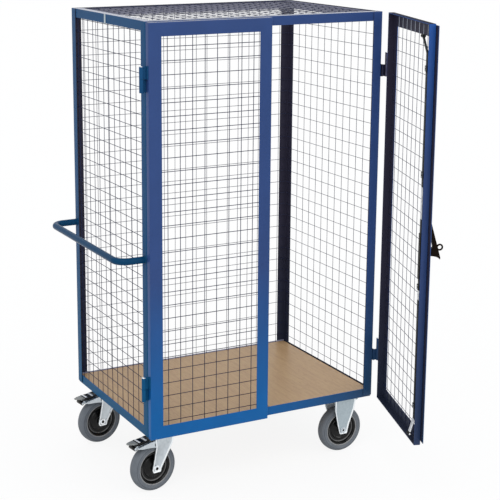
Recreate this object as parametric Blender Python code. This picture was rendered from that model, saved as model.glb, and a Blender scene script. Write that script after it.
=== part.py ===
"""Mesh cabinet trolley with two doors, four castors, a push handle and a rod lock.

Metres, +Z up, the front faces -Y, origin in the middle of the deck's top face.
At rest the left door is shut, the right door stands open and the lock rods are drawn in.
"""

import math

import bmesh
import bpy
from mathutils import Matrix, Vector

MM = 0.001

# Whole trolley
FRAME_WIDTH = 1000 * MM
FRAME_DEPTH = 700 * MM
OVERALL_HEIGHT = 1800 * MM
BASE_CLEARANCE = 245 * MM
GAP = 0.3 * MM
STEEL = 3 * MM
HALF = 0.5
SHARP_ANGLE = math.radians(35)

# Base and top rails
RAIL_HEIGHT = 35 * MM
RAIL_FLANGE = 30 * MM
RAIL_LIP = 3 * MM
BOARD_THICKNESS = 15 * MM
BEAM_WIDTH = 140 * MM
BEAM_WALL = 4 * MM

# Corner posts
POST_LEG = 40 * MM
POST_CORNER_RADIUS = 5 * MM
POST_CORNER_STEPS = 4
POST_FOOT_RISE = 6 * MM

# Wire mesh of 50 mm squares: every second upright and every fourth level wire is solid here
COLUMN_PITCH = 100 * MM
ROW_PITCH = 200 * MM
BACK_START_SHARE = 4.5
SIDE_START_SHARE = 3
DOOR_FIRST_PITCH_SHARE = 0.75
WIRE_WIDTH = 4 * MM
WIRE_EDGE_GAP_SHARE = 0.3
LOWEST_WIRE = 134 * MM
SIDE_WIRE_TOP_DROP = 18 * MM
ROOF_EDGE_INSET = 10 * MM

# Doors, drawn shut and then swung to their rest angle
DOOR_FACE = 50 * MM
DOOR_DEPTH = 25 * MM
DOOR_STANDOFF = 2 * MM
DOOR_MIDDLE_GAP = 1.5 * MM
DOOR_SIDE_GAP = 0.5 * MM
DOOR_TOP_GAP = 2 * MM
DOOR_BOTTOM_GAP = 1 * MM
DOOR_MESH_LAP = 6 * MM
RIGHT_DOOR_OPEN = math.radians(71.6)
STRIP_OVERHANG = 25 * MM
STRIP_LAP = 12 * MM
STRIP_TOP_DROP = 5 * MM
STRIP_BOTTOM_RISE = 15 * MM

# Lift-off hinges
HINGE_OFFSET = 20 * MM
HINGE_FORWARD = 8 * MM
HINGE_RADIUS = 8 * MM
HINGE_LENGTH = 95 * MM
HINGE_FROM_END = 200 * MM
HINGE_PIN_RADIUS = 4.5 * MM
HINGE_PIN_LENGTH = 40 * MM
HINGE_BORE_CLEARANCE = 0.35 * MM
HINGE_BORE_DEPTH = 42 * MM
HINGE_LEAF_DEPTH = 28 * MM
HINGE_LEAF_FRONT = 5 * MM
HINGE_ARM = 4 * MM
HINGE_DOOR_LEAF_BACK = 4 * MM
HINGE_DOOR_LEAF_DEPTH = 19 * MM

# Push handle
PUSH_RADIUS = 13 * MM
PUSH_REACH = 106 * MM
PUSH_BEND = 45 * MM
PUSH_HEIGHT = 658 * MM
PUSH_FROM_END = 17.5 * MM
PUSH_SIDES = 12
PUSH_BEND_STEPS = 5

# Rod lock on the free stile of the right door, measured from the free edge
LOCK_HEIGHT = 698 * MM
SPINDLE_INSET = 30 * MM
SPINDLE_RADIUS = 4 * MM
SPINDLE_CLEARANCE = 0.6 * MM
SPINDLE_END_DEPTH = 9 * MM
CASE_INSET = 4.2 * MM
CASE_WIDTH = 35 * MM
CASE_ABOVE = 74 * MM
CASE_BELOW = 95 * MM
CASE_BACK_DEPTH = 7 * MM
CASE_BRIDGE_INWARD = 2.5 * MM
ESCUTCHEON_WIDTH = 27 * MM
ESCUTCHEON_HEIGHT = 62 * MM
ESCUTCHEON_DEPTH = 7 * MM
ROD_INSET = 7 * MM
ROD_WIDTH = 16 * MM
ROD_THICKNESS = 5 * MM
ROD_BACK = 0.8 * MM
ROD_SLOT = 0.4 * MM
ROD_IN_CASE = 30 * MM
ROD_CRANK_LENGTH = 60 * MM
ROD_CRANK_REACH = 17.5 * MM
ROLLER_RADIUS = 6.5 * MM
ROLLER_LENGTH = 12 * MM
ROLLER_RAIL_CLEARANCE = 3 * MM
ROLLER_SIDES = 16
GUIDE_WIDTH = 22 * MM
GUIDE_HEIGHT = 20 * MM
GUIDE_INWARD = 3 * MM
GUIDE_UPPER_DROP = 159 * MM
GUIDE_LOWER_RISE = 150 * MM

# Lock handle, side view from its spindle: (out from the door's face, up)
GRIP_BOSS_RADIUS = 11 * MM
GRIP_BOSS_LENGTH = 14 * MM
GRIP_WIDTH = 16 * MM
GRIP_OUTLINE = (
    (10 * MM, -12 * MM),
    (30 * MM, -15 * MM),
    (44 * MM, -19 * MM),
    (55 * MM, -28 * MM),
    (56 * MM, -21 * MM),
    (14 * MM, 125 * MM),
    (5 * MM, 125 * MM),
    (22 * MM, 45 * MM),
    (27 * MM, 18 * MM),
    (10 * MM, 12 * MM),
)
EYE_RADIUS = 12 * MM
EYE_HOLE = 7 * MM
EYE_THICKNESS = 6 * MM
EYE_OUT = 54 * MM
EYE_RISE = 17 * MM

# Castors
WHEEL_RADIUS = 95 * MM
WHEEL_WIDTH = 45 * MM
WHEEL_LINE = 85 * MM
SWIVEL_INSET = 93 * MM
SWIVEL_TRAIL = 40 * MM
SWIVEL_TURN = math.radians(8)
FIXED_INSET = 97 * MM
PLATE_LENGTH = 110 * MM
PLATE_WIDTH = 135 * MM
PLATE_THICKNESS = 5 * MM
FORK_INNER = 25.5 * MM
FORK_WALL = 4 * MM
FIXED_LEAN_RISE = 25 * MM
FIXED_LEAN = 17 * MM
RACE_RADIUS = 35 * MM
RACE_HEIGHT = 12 * MM
CROWN_RADIUS = 38 * MM
CROWN_HEIGHT = 5 * MM
CROWN_PLATE = 5 * MM
CROWN_AHEAD = 40 * MM
CROWN_BEHIND = 46 * MM
AXLE_RADIUS = 6 * MM
AXLE_HEAD_RADIUS = 11 * MM
AXLE_LENGTH = 67 * MM
BORE_CLEARANCE = 0.3 * MM
WHEEL_SIDES = 24
ROUND_SIDES = 16
SMALL_SIDES = 12
BOLT_SIDES = 6
RIM_RADIUS = 66 * MM
RIM_WALL = 9 * MM
RIM_HALF_WIDTH = 18 * MM
WEB_HALF = 8 * MM
HUB_RADIUS = 20 * MM
TYRE_FOOT_HALF = 20 * MM
TYRE_SHOULDER = 9 * MM
TYRE_TREAD_HALF = 12 * MM

# Brake pedal, side view from its pin: (towards the tip, up)
PEDAL_PIN_BEHIND = 30 * MM
PEDAL_PIN_DROP = 38 * MM
PEDAL_PIN_RADIUS = 4 * MM
PEDAL_HALF_WIDTH = 20 * MM
PEDAL_PLATE_LOW = 0.3 * MM
PEDAL_PLATE_HIGH = 4.3 * MM
PEDAL_OUTLINE = (
    (-7 * MM, 4 * MM),
    (-7 * MM, -4 * MM),
    (23 * MM, -8 * MM),
    (40 * MM, -8.5 * MM),
    (56 * MM, -15 * MM),
    (75 * MM, -21 * MM),
    (88 * MM, -25 * MM),
    (104 * MM, -22 * MM),
    (106 * MM, -12 * MM),
    (88 * MM, -4 * MM),
    (78 * MM, -1 * MM),
    (58 * MM, 4 * MM),
    (33 * MM, 10 * MM),
    (12 * MM, 7.5 * MM),
)
# Foot plate of the pedal from above: (towards the tip, half its width there)
PEDAL_PLATE = (
    (58 * MM, 20 * MM),
    (92 * MM, 19 * MM),
    (112 * MM, 13 * MM),
    (125 * MM, 5 * MM),
)

# Fork legs, side view from the axle: (ahead, up); the top follows the crown or the plate
FORK_FOOT = (
    (20 * MM, -3 * MM),
    (16 * MM, -12 * MM),
    (9 * MM, -16.5 * MM),
    (-9 * MM, -16.5 * MM),
    (-16 * MM, -12 * MM),
    (-19 * MM, -3 * MM),
)
FIXED_LEG_TOP = 50 * MM
FIXED_LEG_SHOULDER = (45 * MM, 90 * MM)
SWIVEL_LEG_SHOULDER = (76 * MM, 94 * MM)
SWIVEL_LEG_BACK = (
    (-13 * MM, 22 * MM),
    (-6 * MM, 58 * MM),
    (-1 * MM, 85 * MM),
)
# Wing of the leg that shields the tyre
SWIVEL_WING = (
    (-28 * MM, 89 * MM),
    (-63 * MM, 91 * MM),
    (-79 * MM, 95 * MM),
    (-72 * MM, 101 * MM),
    (-50 * MM, 107 * MM),
    (-28 * MM, 111 * MM),
    (-6 * MM, 113 * MM),
)

# Levels and faces worked out from the sizes above
BASE_TOP = RAIL_LIP
BASE_BOTTOM = BASE_TOP - RAIL_HEIGHT
FLOOR = BASE_BOTTOM - BASE_CLEARANCE
FRAME_TOP = FLOOR + OVERALL_HEIGHT
LEFT = -FRAME_WIDTH / 2
RIGHT = FRAME_WIDTH / 2
FRONT = -FRAME_DEPTH / 2
REAR = FRAME_DEPTH / 2
RAIL_INSET = STEEL + GAP
LEG_INNER = RAIL_INSET + STEEL
MESH_INNER = LEG_INNER + GAP + WIRE_WIDTH
LEDGE_TOP = -BOARD_THICKNESS - GAP
TOP_RAIL_BOTTOM = FRAME_TOP - RAIL_HEIGHT
AXLE_Z = FLOOR + WHEEL_RADIUS
WHEEL_Y = FRONT + WHEEL_LINE
SWIVEL_X = LEFT + SWIVEL_INSET
FIXED_X = RIGHT - FIXED_INSET
DOOR_BOTTOM = BASE_BOTTOM + DOOR_BOTTOM_GAP
DOOR_TOP = FRAME_TOP - DOOR_TOP_GAP
DOOR_BACK = FRONT - DOOR_STANDOFF
DOOR_FRONT = DOOR_BACK - DOOR_DEPTH
DOOR_FREE_EDGE = DOOR_MIDDLE_GAP / 2
DOOR_HINGE_EDGE = RIGHT - DOOR_SIDE_GAP
HINGE_X = RIGHT + HINGE_OFFSET
HINGE_Y = FRONT - HINGE_FORWARD
RIGHT_HINGE = Vector((HINGE_X, HINGE_Y, 0))
LEFT_HINGE = Vector((-HINGE_X, HINGE_Y, 0))
SWING = (
    Matrix.Translation(RIGHT_HINGE)
    @ Matrix.Rotation(RIGHT_DOOR_OPEN, 4, "Z")
    @ Matrix.Translation(-RIGHT_HINGE)
)

# colour, roughness, metallic
PAINT = ((0.02, 0.095, 0.30), 0.42, 0.0)
BEECH = ((0.46, 0.28, 0.16), 0.45, 0.0)
ZINC = ((0.62, 0.63, 0.64), 0.32, 1.0)
TYRE_RUBBER = ((0.17, 0.175, 0.18), 0.75, 0.0)
RIM_PLASTIC = ((0.02, 0.02, 0.022), 0.5, 0.0)
BLACK = ((0.02, 0.018, 0.017), 0.4, 0.0)
HANDLE_BROWN = ((0.035, 0.018, 0.01), 0.4, 0.0)

AXES = {"X": (1, 2, 0), "Y": (0, 2, 1), "Z": (0, 1, 2)}


def clear_scene():
    for obj in list(bpy.data.objects):
        bpy.data.objects.remove(obj, do_unlink=True)


def place(axis, first, second, along):
    """The point with two coordinates across the axis and one along it."""
    point = [0, 0, 0]
    for index, value in zip(AXES[axis], (first, second, along)):
        point[index] = value
    return point


def solid(name, points, faces):
    """An object from points and faces, with its faces turned outwards."""
    mesh = bpy.data.meshes.new(name)
    shape = bmesh.new()
    corners = [shape.verts.new(point) for point in points]
    for face in faces:
        shape.faces.new([corners[index] for index in face])
    bmesh.ops.recalc_face_normals(shape, faces=shape.faces)
    shape.to_mesh(mesh)
    shape.free()
    obj = bpy.data.objects.new(name, mesh)
    bpy.context.scene.collection.objects.link(obj)
    return obj


def prism(name, outline, axis, low, high):
    """An outline pulled along an axis from low to high."""
    count = len(outline)
    points = [place(axis, u, v, low) for u, v in outline]
    points += [place(axis, u, v, high) for u, v in outline]
    faces = [list(range(count)), list(range(count, 2 * count))]
    for index in range(count):
        after = (index + 1) % count
        faces.append([index, after, count + after, count + index])
    return solid(name, points, faces)


def box(name, x, y, z):
    """A box from a pair of limits for each axis."""
    outline = [(x[0], y[0]), (x[1], y[0]), (x[1], y[1]), (x[0], y[1])]
    return prism(name, outline, "Z", z[0], z[1])


def ring_outline(centre, radius, sides):
    turn = 2 * math.pi / sides
    return [
        (
            centre[0] + radius * math.cos((step + HALF) * turn),
            centre[1] + radius * math.sin((step + HALF) * turn),
        )
        for step in range(sides)
    ]


def rod(name, centre, radius, axis, low, high, sides=ROUND_SIDES):
    """A round bar along an axis; centre holds the two coordinates across it."""
    return prism(name, ring_outline(centre, radius, sides), axis, low, high)


def lathe_ring(name, profile, centre, sides):
    """A closed (radius, along) profile turned about a line parallel to Y; its flats lie at the radius."""
    turn = 2 * math.pi / sides
    stretch = 1 / math.cos(turn / 2)
    points = []
    for step in range(sides):
        angle = (step + HALF) * turn - math.pi / 2
        for radius, along in profile:
            points.append(
                (
                    centre[0] + radius * stretch * math.cos(angle),
                    centre[1] + along,
                    centre[2] + radius * stretch * math.sin(angle),
                )
            )
    count = len(profile)
    faces = []
    for step in range(sides):
        here = step * count
        there = (step + 1) % sides * count
        for index in range(count):
            after = (index + 1) % count
            faces.append([here + index, here + after, there + after, there + index])
    return solid(name, points, faces)


def tube(name, path, radius, sides):
    """A round bar swept along a path that stays in one level plane."""
    turn = 2 * math.pi / sides
    points = []
    for index, point in enumerate(path):
        before = path[max(index - 1, 0)]
        after = path[min(index + 1, len(path) - 1)]
        along = (after - before).normalized()
        across = along.cross(Vector((0, 0, 1)))
        for step in range(sides):
            angle = (step + HALF) * turn
            offset = across * math.cos(angle) + Vector((0, 0, math.sin(angle)))
            points.append(point + offset * radius)
    faces = [list(range(sides)), list(range(len(points) - sides, len(points)))]
    for ring in range(len(path) - 1):
        for step in range(sides):
            after = (step + 1) % sides
            low = ring * sides
            high = low + sides
            faces.append([low + step, low + after, high + after, high + step])
    return solid(name, points, faces)


def lattice(name, columns, rows, width, axis, low, high):
    """Crossing bars in one plane across the axis, as one body with square holes."""
    across = sorted(value + side * width / 2 for value in columns for side in (-1, 1))
    upward = sorted(value + side * width / 2 for value in rows for side in (-1, 1))
    wide = len(across)
    tall = len(upward)
    points = [place(axis, u, v, w) for w in (low, high) for v in upward for u in across]

    def is_bar(column, row):
        inside = 0 <= column < wide - 1 and 0 <= row < tall - 1
        return inside and (column % 2 == 0 or row % 2 == 0)

    def corner(layer, column, row):
        return layer * wide * tall + row * wide + column

    used = {}
    faces = []

    def add(indices):
        faces.append([used.setdefault(index, len(used)) for index in indices])

    for row in range(-1, tall):
        for column in range(-1, wide):
            if is_bar(column, row):
                for layer in (0, 1):
                    add(
                        [
                            corner(layer, column, row),
                            corner(layer, column + 1, row),
                            corner(layer, column + 1, row + 1),
                            corner(layer, column, row + 1),
                        ]
                    )
            if is_bar(column, row) != is_bar(column + 1, row):
                add(
                    [
                        corner(0, column + 1, row),
                        corner(0, column + 1, row + 1),
                        corner(1, column + 1, row + 1),
                        corner(1, column + 1, row),
                    ]
                )
            if is_bar(column, row) != is_bar(column, row + 1):
                add(
                    [
                        corner(0, column, row + 1),
                        corner(0, column + 1, row + 1),
                        corner(1, column + 1, row + 1),
                        corner(1, column, row + 1),
                    ]
                )
    kept = sorted(used, key=used.get)
    return solid(name, [points[index] for index in kept], faces)


def bake(target, others, operation):
    """Joins or cuts the target with the other objects, and removes those."""
    for other in others:
        modifier = target.modifiers.new(operation, "BOOLEAN")
        modifier.operation = operation
        modifier.solver = "EXACT"
        modifier.object = other
    graph = bpy.context.evaluated_depsgraph_get()
    mesh = bpy.data.meshes.new_from_object(target.evaluated_get(graph))
    target.modifiers.clear()
    target.data = mesh
    for other in others:
        bpy.data.objects.remove(other, do_unlink=True)
    return target


def join(target, *others):
    return bake(target, others, "UNION")


def cut(target, *others):
    return bake(target, others, "DIFFERENCE")


def dress(obj, look, smooth=False):
    """Gives the object its own material and, on round parts, smooth shading."""
    colour, roughness, metallic = look
    material = bpy.data.materials.new(obj.name + "_finish")
    material.use_nodes = True
    shader = material.node_tree.nodes["Principled BSDF"]
    shader.inputs["Base Color"].default_value = (*colour, 1)
    shader.inputs["Roughness"].default_value = roughness
    shader.inputs["Metallic"].default_value = metallic
    material.diffuse_color = (*colour, 1)
    obj.data.materials.clear()
    obj.data.materials.append(material)
    if smooth:
        obj.data.shade_smooth()
        obj.data.set_sharp_from_angle(angle=SHARP_ANGLE)
    return obj


def pivot(obj, point):
    """Moves the object's origin to a point on its joint axis, and leaves its shape in place."""
    point = Vector(point)
    obj.data.transform(Matrix.Translation(-point))
    obj.location = point
    return obj


def mirror_x(obj):
    """Turns the object into its own mirror image across the middle of the trolley."""
    obj.data.transform(Matrix.Scale(-1, 4, Vector((1, 0, 0))))
    obj.data.flip_normals()
    return obj


def wire_lines(low, high, first, pitch):
    """Bar positions: both edges, and the wires of the pitch that lie well between them."""
    inner = []
    value = first
    while value < high - WIRE_EDGE_GAP_SHARE * pitch:
        if value > low + WIRE_EDGE_GAP_SHARE * pitch:
            inner.append(value)
        value += pitch
    return [low, *inner, high]


def rail(name, side, leg, flange):
    """One rail of a rectangle: an upright leg and a level flange that points inwards."""
    overlap = STEEL / 2
    if side in ("front", "rear"):
        sign = -1 if side == "front" else 1
        outer = sign * (REAR - RAIL_INSET)
        inner = sign * (REAR - LEG_INNER)
        tip = sign * (REAR - LEG_INNER - RAIL_FLANGE)
        reach = RIGHT - RAIL_INSET
        flange_reach = RIGHT - LEG_INNER - GAP
        body = box(name, (-reach, reach), sorted((outer, inner)), leg)
        root = inner + sign * overlap
        shelf = box("shelf", (-flange_reach, flange_reach), sorted((root, tip)), flange)
    else:
        sign = -1 if side == "left" else 1
        outer = sign * (RIGHT - RAIL_INSET)
        inner = sign * (RIGHT - LEG_INNER)
        tip = sign * (RIGHT - LEG_INNER - RAIL_FLANGE)
        reach = REAR - LEG_INNER - GAP
        flange_reach = REAR - LEG_INNER - RAIL_FLANGE - GAP
        body = box(name, sorted((outer, inner)), (-reach, reach), leg)
        root = inner + sign * overlap
        shelf = box("shelf", sorted((root, tip)), (-flange_reach, flange_reach), flange)
    return dress(join(body, shelf), PAINT)


def build_rails():
    sides = ("front", "rear", "left", "right")
    for side in sides:
        rail("base_rail_" + side, side, (BASE_BOTTOM, BASE_TOP), (LEDGE_TOP - STEEL, LEDGE_TOP))
    for side in sides:
        rail("top_rail_" + side, side, (TOP_RAIL_BOTTOM, FRAME_TOP), (FRAME_TOP - STEEL, FRAME_TOP))


def build_beams():
    """Low channels that carry the castors, under the ledges of the front and rear rails."""
    reach = REAR - LEG_INNER - GAP
    top = LEDGE_TOP - STEEL - GAP
    for name, centre in (("left", SWIVEL_X), ("right", FIXED_X)):
        outer = BEAM_WIDTH / 2
        inner = outer - BEAM_WALL
        floor = BASE_BOTTOM + BEAM_WALL
        outline = [
            (centre - outer, BASE_BOTTOM),
            (centre + outer, BASE_BOTTOM),
            (centre + outer, top),
            (centre + inner, top),
            (centre + inner, floor),
            (centre - inner, floor),
            (centre - inner, top),
            (centre - outer, top),
        ]
        dress(prism("castor_beam_" + name, outline, "Y", -reach, reach), PAINT)


def build_board():
    """The deck between the mesh panels, with a notch behind the front rail for the lower lock roller."""
    front = REAR - LEG_INNER - GAP
    back = REAR - MESH_INNER - GAP
    across = RIGHT - MESH_INNER - GAP
    board = box("deck_board", (-across, across), (-front, back), (-BOARD_THICKNESS, 0))
    roller_back = DOOR_BACK + ROD_BACK + ROD_CRANK_REACH + ROLLER_RADIUS
    notch = box(
        "notch",
        (DOOR_FREE_EDGE, DOOR_FREE_EDGE + ROD_INSET + ROD_WIDTH + ROLLER_RADIUS),
        (-front - STEEL, roller_back + ROLLER_RADIUS),
        (-BOARD_THICKNESS - STEEL, STEEL),
    )
    dress(cut(board, notch), BEECH)


def build_posts():
    """Angle posts with a rounded outer corner; they lap outside the rails."""
    low = BASE_BOTTOM + POST_FOOT_RISE
    for name, x_sign, y_sign in (
        ("front_left", -1, -1),
        ("front_right", 1, -1),
        ("rear_left", -1, 1),
        ("rear_right", 1, 1),
    ):
        corner = []
        for step in range(POST_CORNER_STEPS + 1):
            angle = math.pi / 2 * step / POST_CORNER_STEPS
            corner.append(
                (
                    RIGHT - POST_CORNER_RADIUS * (1 - math.cos(angle)),
                    REAR - POST_CORNER_RADIUS * (1 - math.sin(angle)),
                )
            )
        outline = [
            (RIGHT - STEEL, REAR - POST_LEG),
            (RIGHT, REAR - POST_LEG),
            *corner,
            (RIGHT - POST_LEG, REAR),
            (RIGHT - POST_LEG, REAR - STEEL),
            (RIGHT - STEEL, REAR - STEEL),
        ]
        turned = [(x * x_sign, y * y_sign) for x, y in outline]
        dress(prism("post_" + name, turned, "Z", low, FRAME_TOP), PAINT, smooth=True)


def build_fixed_mesh():
    low = LEDGE_TOP + GAP + WIRE_WIDTH / 2
    high = FRAME_TOP - SIDE_WIRE_TOP_DROP
    rows = wire_lines(low, high, LOWEST_WIRE, ROW_PITCH)
    back_edge = RIGHT - MESH_INNER - GAP - WIRE_WIDTH / 2
    columns = wire_lines(-back_edge, back_edge, -COLUMN_PITCH * BACK_START_SHARE, COLUMN_PITCH)
    back = REAR - LEG_INNER - GAP
    dress(lattice("mesh_rear", columns, rows, WIRE_WIDTH, "Y", back - WIRE_WIDTH, back), PAINT)
    side_edge = REAR - LEG_INNER - GAP - WIRE_WIDTH / 2
    columns = wire_lines(-side_edge, side_edge, -COLUMN_PITCH * SIDE_START_SHARE, COLUMN_PITCH)
    face = RIGHT - LEG_INNER - GAP
    for name, sign in (("left", -1), ("right", 1)):
        limits = sorted((sign * (face - WIRE_WIDTH), sign * face))
        dress(lattice("mesh_" + name, columns, rows, WIRE_WIDTH, "X", *limits), PAINT)
    across = RIGHT - LEG_INNER - ROOF_EDGE_INSET
    back = REAR - LEG_INNER - ROOF_EDGE_INSET
    columns = wire_lines(-across, across, -COLUMN_PITCH * BACK_START_SHARE, COLUMN_PITCH)
    rows = wire_lines(-back, back, -ROW_PITCH, ROW_PITCH)
    top = FRAME_TOP - STEEL - GAP
    dress(lattice("mesh_roof", columns, rows, WIRE_WIDTH, "Z", top - WIRE_WIDTH, top), PAINT)


def build_push_handle():
    """A bent tube between the two left posts."""
    ends = REAR - PUSH_FROM_END
    path = [Vector((LEFT - GAP, -ends, PUSH_HEIGHT))]
    for sign in (-1, 1):
        bend = []
        for step in range(PUSH_BEND_STEPS + 1):
            angle = math.pi / 2 * step / PUSH_BEND_STEPS
            x = LEFT - PUSH_REACH + PUSH_BEND * (1 - math.sin(angle))
            y = sign * (ends - PUSH_BEND * (1 - math.cos(angle)))
            bend.append(Vector((x, y, PUSH_HEIGHT)))
        path += bend if sign < 0 else bend[::-1]
    path.append(Vector((LEFT - GAP, ends, PUSH_HEIGHT)))
    dress(tube("push_handle", path, PUSH_RADIUS, PUSH_SIDES), PAINT, smooth=True)


def hinge_halves(suffix, middle):
    """Both halves of one right-hand hinge: (post half with its pin, door half with its bore)."""
    centre = (HINGE_X, HINGE_Y)
    low = middle - HINGE_LENGTH / 2
    high = middle + HINGE_LENGTH / 2
    split = middle
    knuckle = rod("hinge_post_" + suffix, centre, HINGE_RADIUS, "Z", low, split, SMALL_SIDES)
    pin_z = (split - STEEL, split + HINGE_PIN_LENGTH)
    pin = rod("pin", centre, HINGE_PIN_RADIUS, "Z", *pin_z, SMALL_SIDES)
    leaf_x = (RIGHT + GAP, RIGHT + GAP + STEEL)
    leaf = box("leaf", leaf_x, (FRONT - HINGE_LEAF_FRONT, FRONT + HINGE_LEAF_DEPTH), (low, split))
    arm_y = (FRONT - HINGE_LEAF_FRONT, FRONT - HINGE_LEAF_FRONT + HINGE_ARM)
    arm_x = (leaf_x[0] + STEEL / 2, HINGE_X)
    arm = box("arm", arm_x, arm_y, (low + STEEL / 2, split - STEEL / 2))
    post_half = join(knuckle, pin, leaf, arm)
    bottom = split + GAP
    barrel = rod("hinge_door_" + suffix, centre, HINGE_RADIUS, "Z", bottom, high, SMALL_SIDES)
    leaf_x = (DOOR_HINGE_EDGE + GAP, DOOR_HINGE_EDGE + GAP + STEEL)
    leaf_y = (
        DOOR_BACK - HINGE_DOOR_LEAF_BACK - HINGE_DOOR_LEAF_DEPTH,
        DOOR_BACK - HINGE_DOOR_LEAF_BACK,
    )
    leaf = box("leaf", leaf_x, leaf_y, (bottom, high))
    arm_y = (HINGE_Y - HINGE_ARM, HINGE_Y)
    arm_x = (leaf_x[0] + STEEL / 2, HINGE_X)
    arm = box("arm", arm_x, arm_y, (bottom + STEEL / 2, high - STEEL / 2))
    bore_radius = (HINGE_PIN_RADIUS + HINGE_BORE_CLEARANCE) / math.cos(math.pi / SMALL_SIDES)
    bore_z = (bottom - STEEL, bottom + HINGE_BORE_DEPTH)
    bore = rod("bore", centre, bore_radius, "Z", *bore_z, SMALL_SIDES)
    door_half = cut(join(barrel, leaf, arm), bore)
    return post_half, door_half


def build_hinges():
    for height, middle in (
        ("upper", DOOR_TOP - HINGE_FROM_END),
        ("lower", DOOR_BOTTOM + HINGE_FROM_END),
    ):
        post_half, door_half = hinge_halves("right_" + height, middle)
        dress(post_half, ZINC, smooth=True)
        door_half.data.transform(SWING)
        dress(pivot(door_half, RIGHT_HINGE), ZINC, smooth=True)
        post_half, door_half = hinge_halves("left_" + height, middle)
        dress(mirror_x(post_half), ZINC, smooth=True)
        dress(pivot(mirror_x(door_half), LEFT_HINGE), ZINC, smooth=True)


def door_frame(name):
    """A mitred angle frame: a wide face in front, a narrow leg round its outer edge."""
    section = [
        (0, 0),
        (DOOR_FACE, 0),
        (DOOR_FACE, STEEL),
        (STEEL, STEEL),
        (STEEL, DOOR_DEPTH),
        (0, DOOR_DEPTH),
    ]
    edges = (
        (DOOR_FREE_EDGE, DOOR_BOTTOM, 1, 1),
        (DOOR_HINGE_EDGE, DOOR_BOTTOM, -1, 1),
        (DOOR_HINGE_EDGE, DOOR_TOP, -1, -1),
        (DOOR_FREE_EDGE, DOOR_TOP, 1, -1),
    )
    points = []
    for x, z, x_sign, z_sign in edges:
        for inward, depth in section:
            points.append((x + x_sign * inward, DOOR_FRONT + depth, z + z_sign * inward))
    count = len(section)
    faces = []
    for side in range(len(edges)):
        here = side * count
        there = (side + 1) % len(edges) * count
        for index in range(count):
            after = (index + 1) % count
            faces.append([here + index, here + after, there + after, there + index])
    return solid(name, points, faces)


def door_mesh(name):
    low = DOOR_BOTTOM + DOOR_FACE - DOOR_MESH_LAP
    high = DOOR_TOP - DOOR_FACE + DOOR_MESH_LAP
    left = DOOR_FREE_EDGE + DOOR_FACE - DOOR_MESH_LAP
    right = DOOR_HINGE_EDGE - DOOR_FACE + DOOR_MESH_LAP
    columns = wire_lines(left, right, COLUMN_PITCH * DOOR_FIRST_PITCH_SHARE, COLUMN_PITCH)
    rows = wire_lines(low, high, LOWEST_WIRE, ROW_PITCH)
    face = DOOR_FRONT + STEEL + GAP
    return lattice(name, columns, rows, WIRE_WIDTH, "Y", face, face + WIRE_WIDTH)


def build_doors():
    for part, name in ((door_frame, "door_frame_"), (door_mesh, "door_mesh_")):
        dress(pivot(mirror_x(part(name + "left")), LEFT_HINGE), PAINT)
    frame = door_frame("door_frame_right")
    spindle = (DOOR_FREE_EDGE + SPINDLE_INSET, LOCK_HEIGHT)
    hole_radius = SPINDLE_RADIUS + SPINDLE_CLEARANCE
    hole = rod("hole", spindle, hole_radius, "Y", DOOR_FRONT - STEEL, DOOR_FRONT + 2 * STEEL)
    frame = cut(frame, hole)
    front = DOOR_FRONT - GAP
    strip = box(
        "overlap_strip",
        (DOOR_FREE_EDGE - STRIP_OVERHANG, DOOR_FREE_EDGE + STRIP_LAP),
        (front - STEEL, front),
        (DOOR_BOTTOM + STRIP_BOTTOM_RISE, DOOR_TOP - STRIP_TOP_DROP),
    )
    for piece in (frame, door_mesh("door_mesh_right"), strip):
        piece.data.transform(SWING)
        dress(pivot(piece, RIGHT_HINGE), PAINT)


def rod_slot(name, low, high):
    """The cutter that lets a flat rod run through a case or a guide."""
    left = DOOR_FREE_EDGE + ROD_INSET
    back = DOOR_BACK + ROD_BACK
    return box(
        name,
        (left - ROD_SLOT, left + ROD_WIDTH + ROD_SLOT),
        (back - ROD_THICKNESS - ROD_SLOT, back + ROD_SLOT),
        (low - STEEL, high + STEEL),
    )


def lock_rod(name, inner_end, crank_start, roller_z):
    """A flat bar with a cranked end and a roller whose axis lies along the door."""
    left = DOOR_FREE_EDGE + ROD_INSET
    back = DOOR_BACK + ROD_BACK
    front = back - ROD_THICKNESS
    reach = ROD_CRANK_REACH
    past = math.copysign(ROLLER_RADIUS / 2, roller_z - crank_start)
    outline = [
        (front, inner_end),
        (back, inner_end),
        (back, crank_start),
        (back + reach, roller_z),
        (back + reach, roller_z + past),
        (front + reach, roller_z + past),
        (front + reach, roller_z),
        (front, crank_start),
    ]
    bar = prism(name, outline, "X", left, left + ROD_WIDTH)
    axis = (front + reach + ROD_THICKNESS / 2, roller_z)
    middle = left + ROD_WIDTH / 2
    sides = (middle - ROLLER_LENGTH, middle + ROLLER_LENGTH)
    roller = rod("roller", axis, ROLLER_RADIUS, "X", *sides, ROLLER_SIDES)
    return join(bar, roller)


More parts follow.
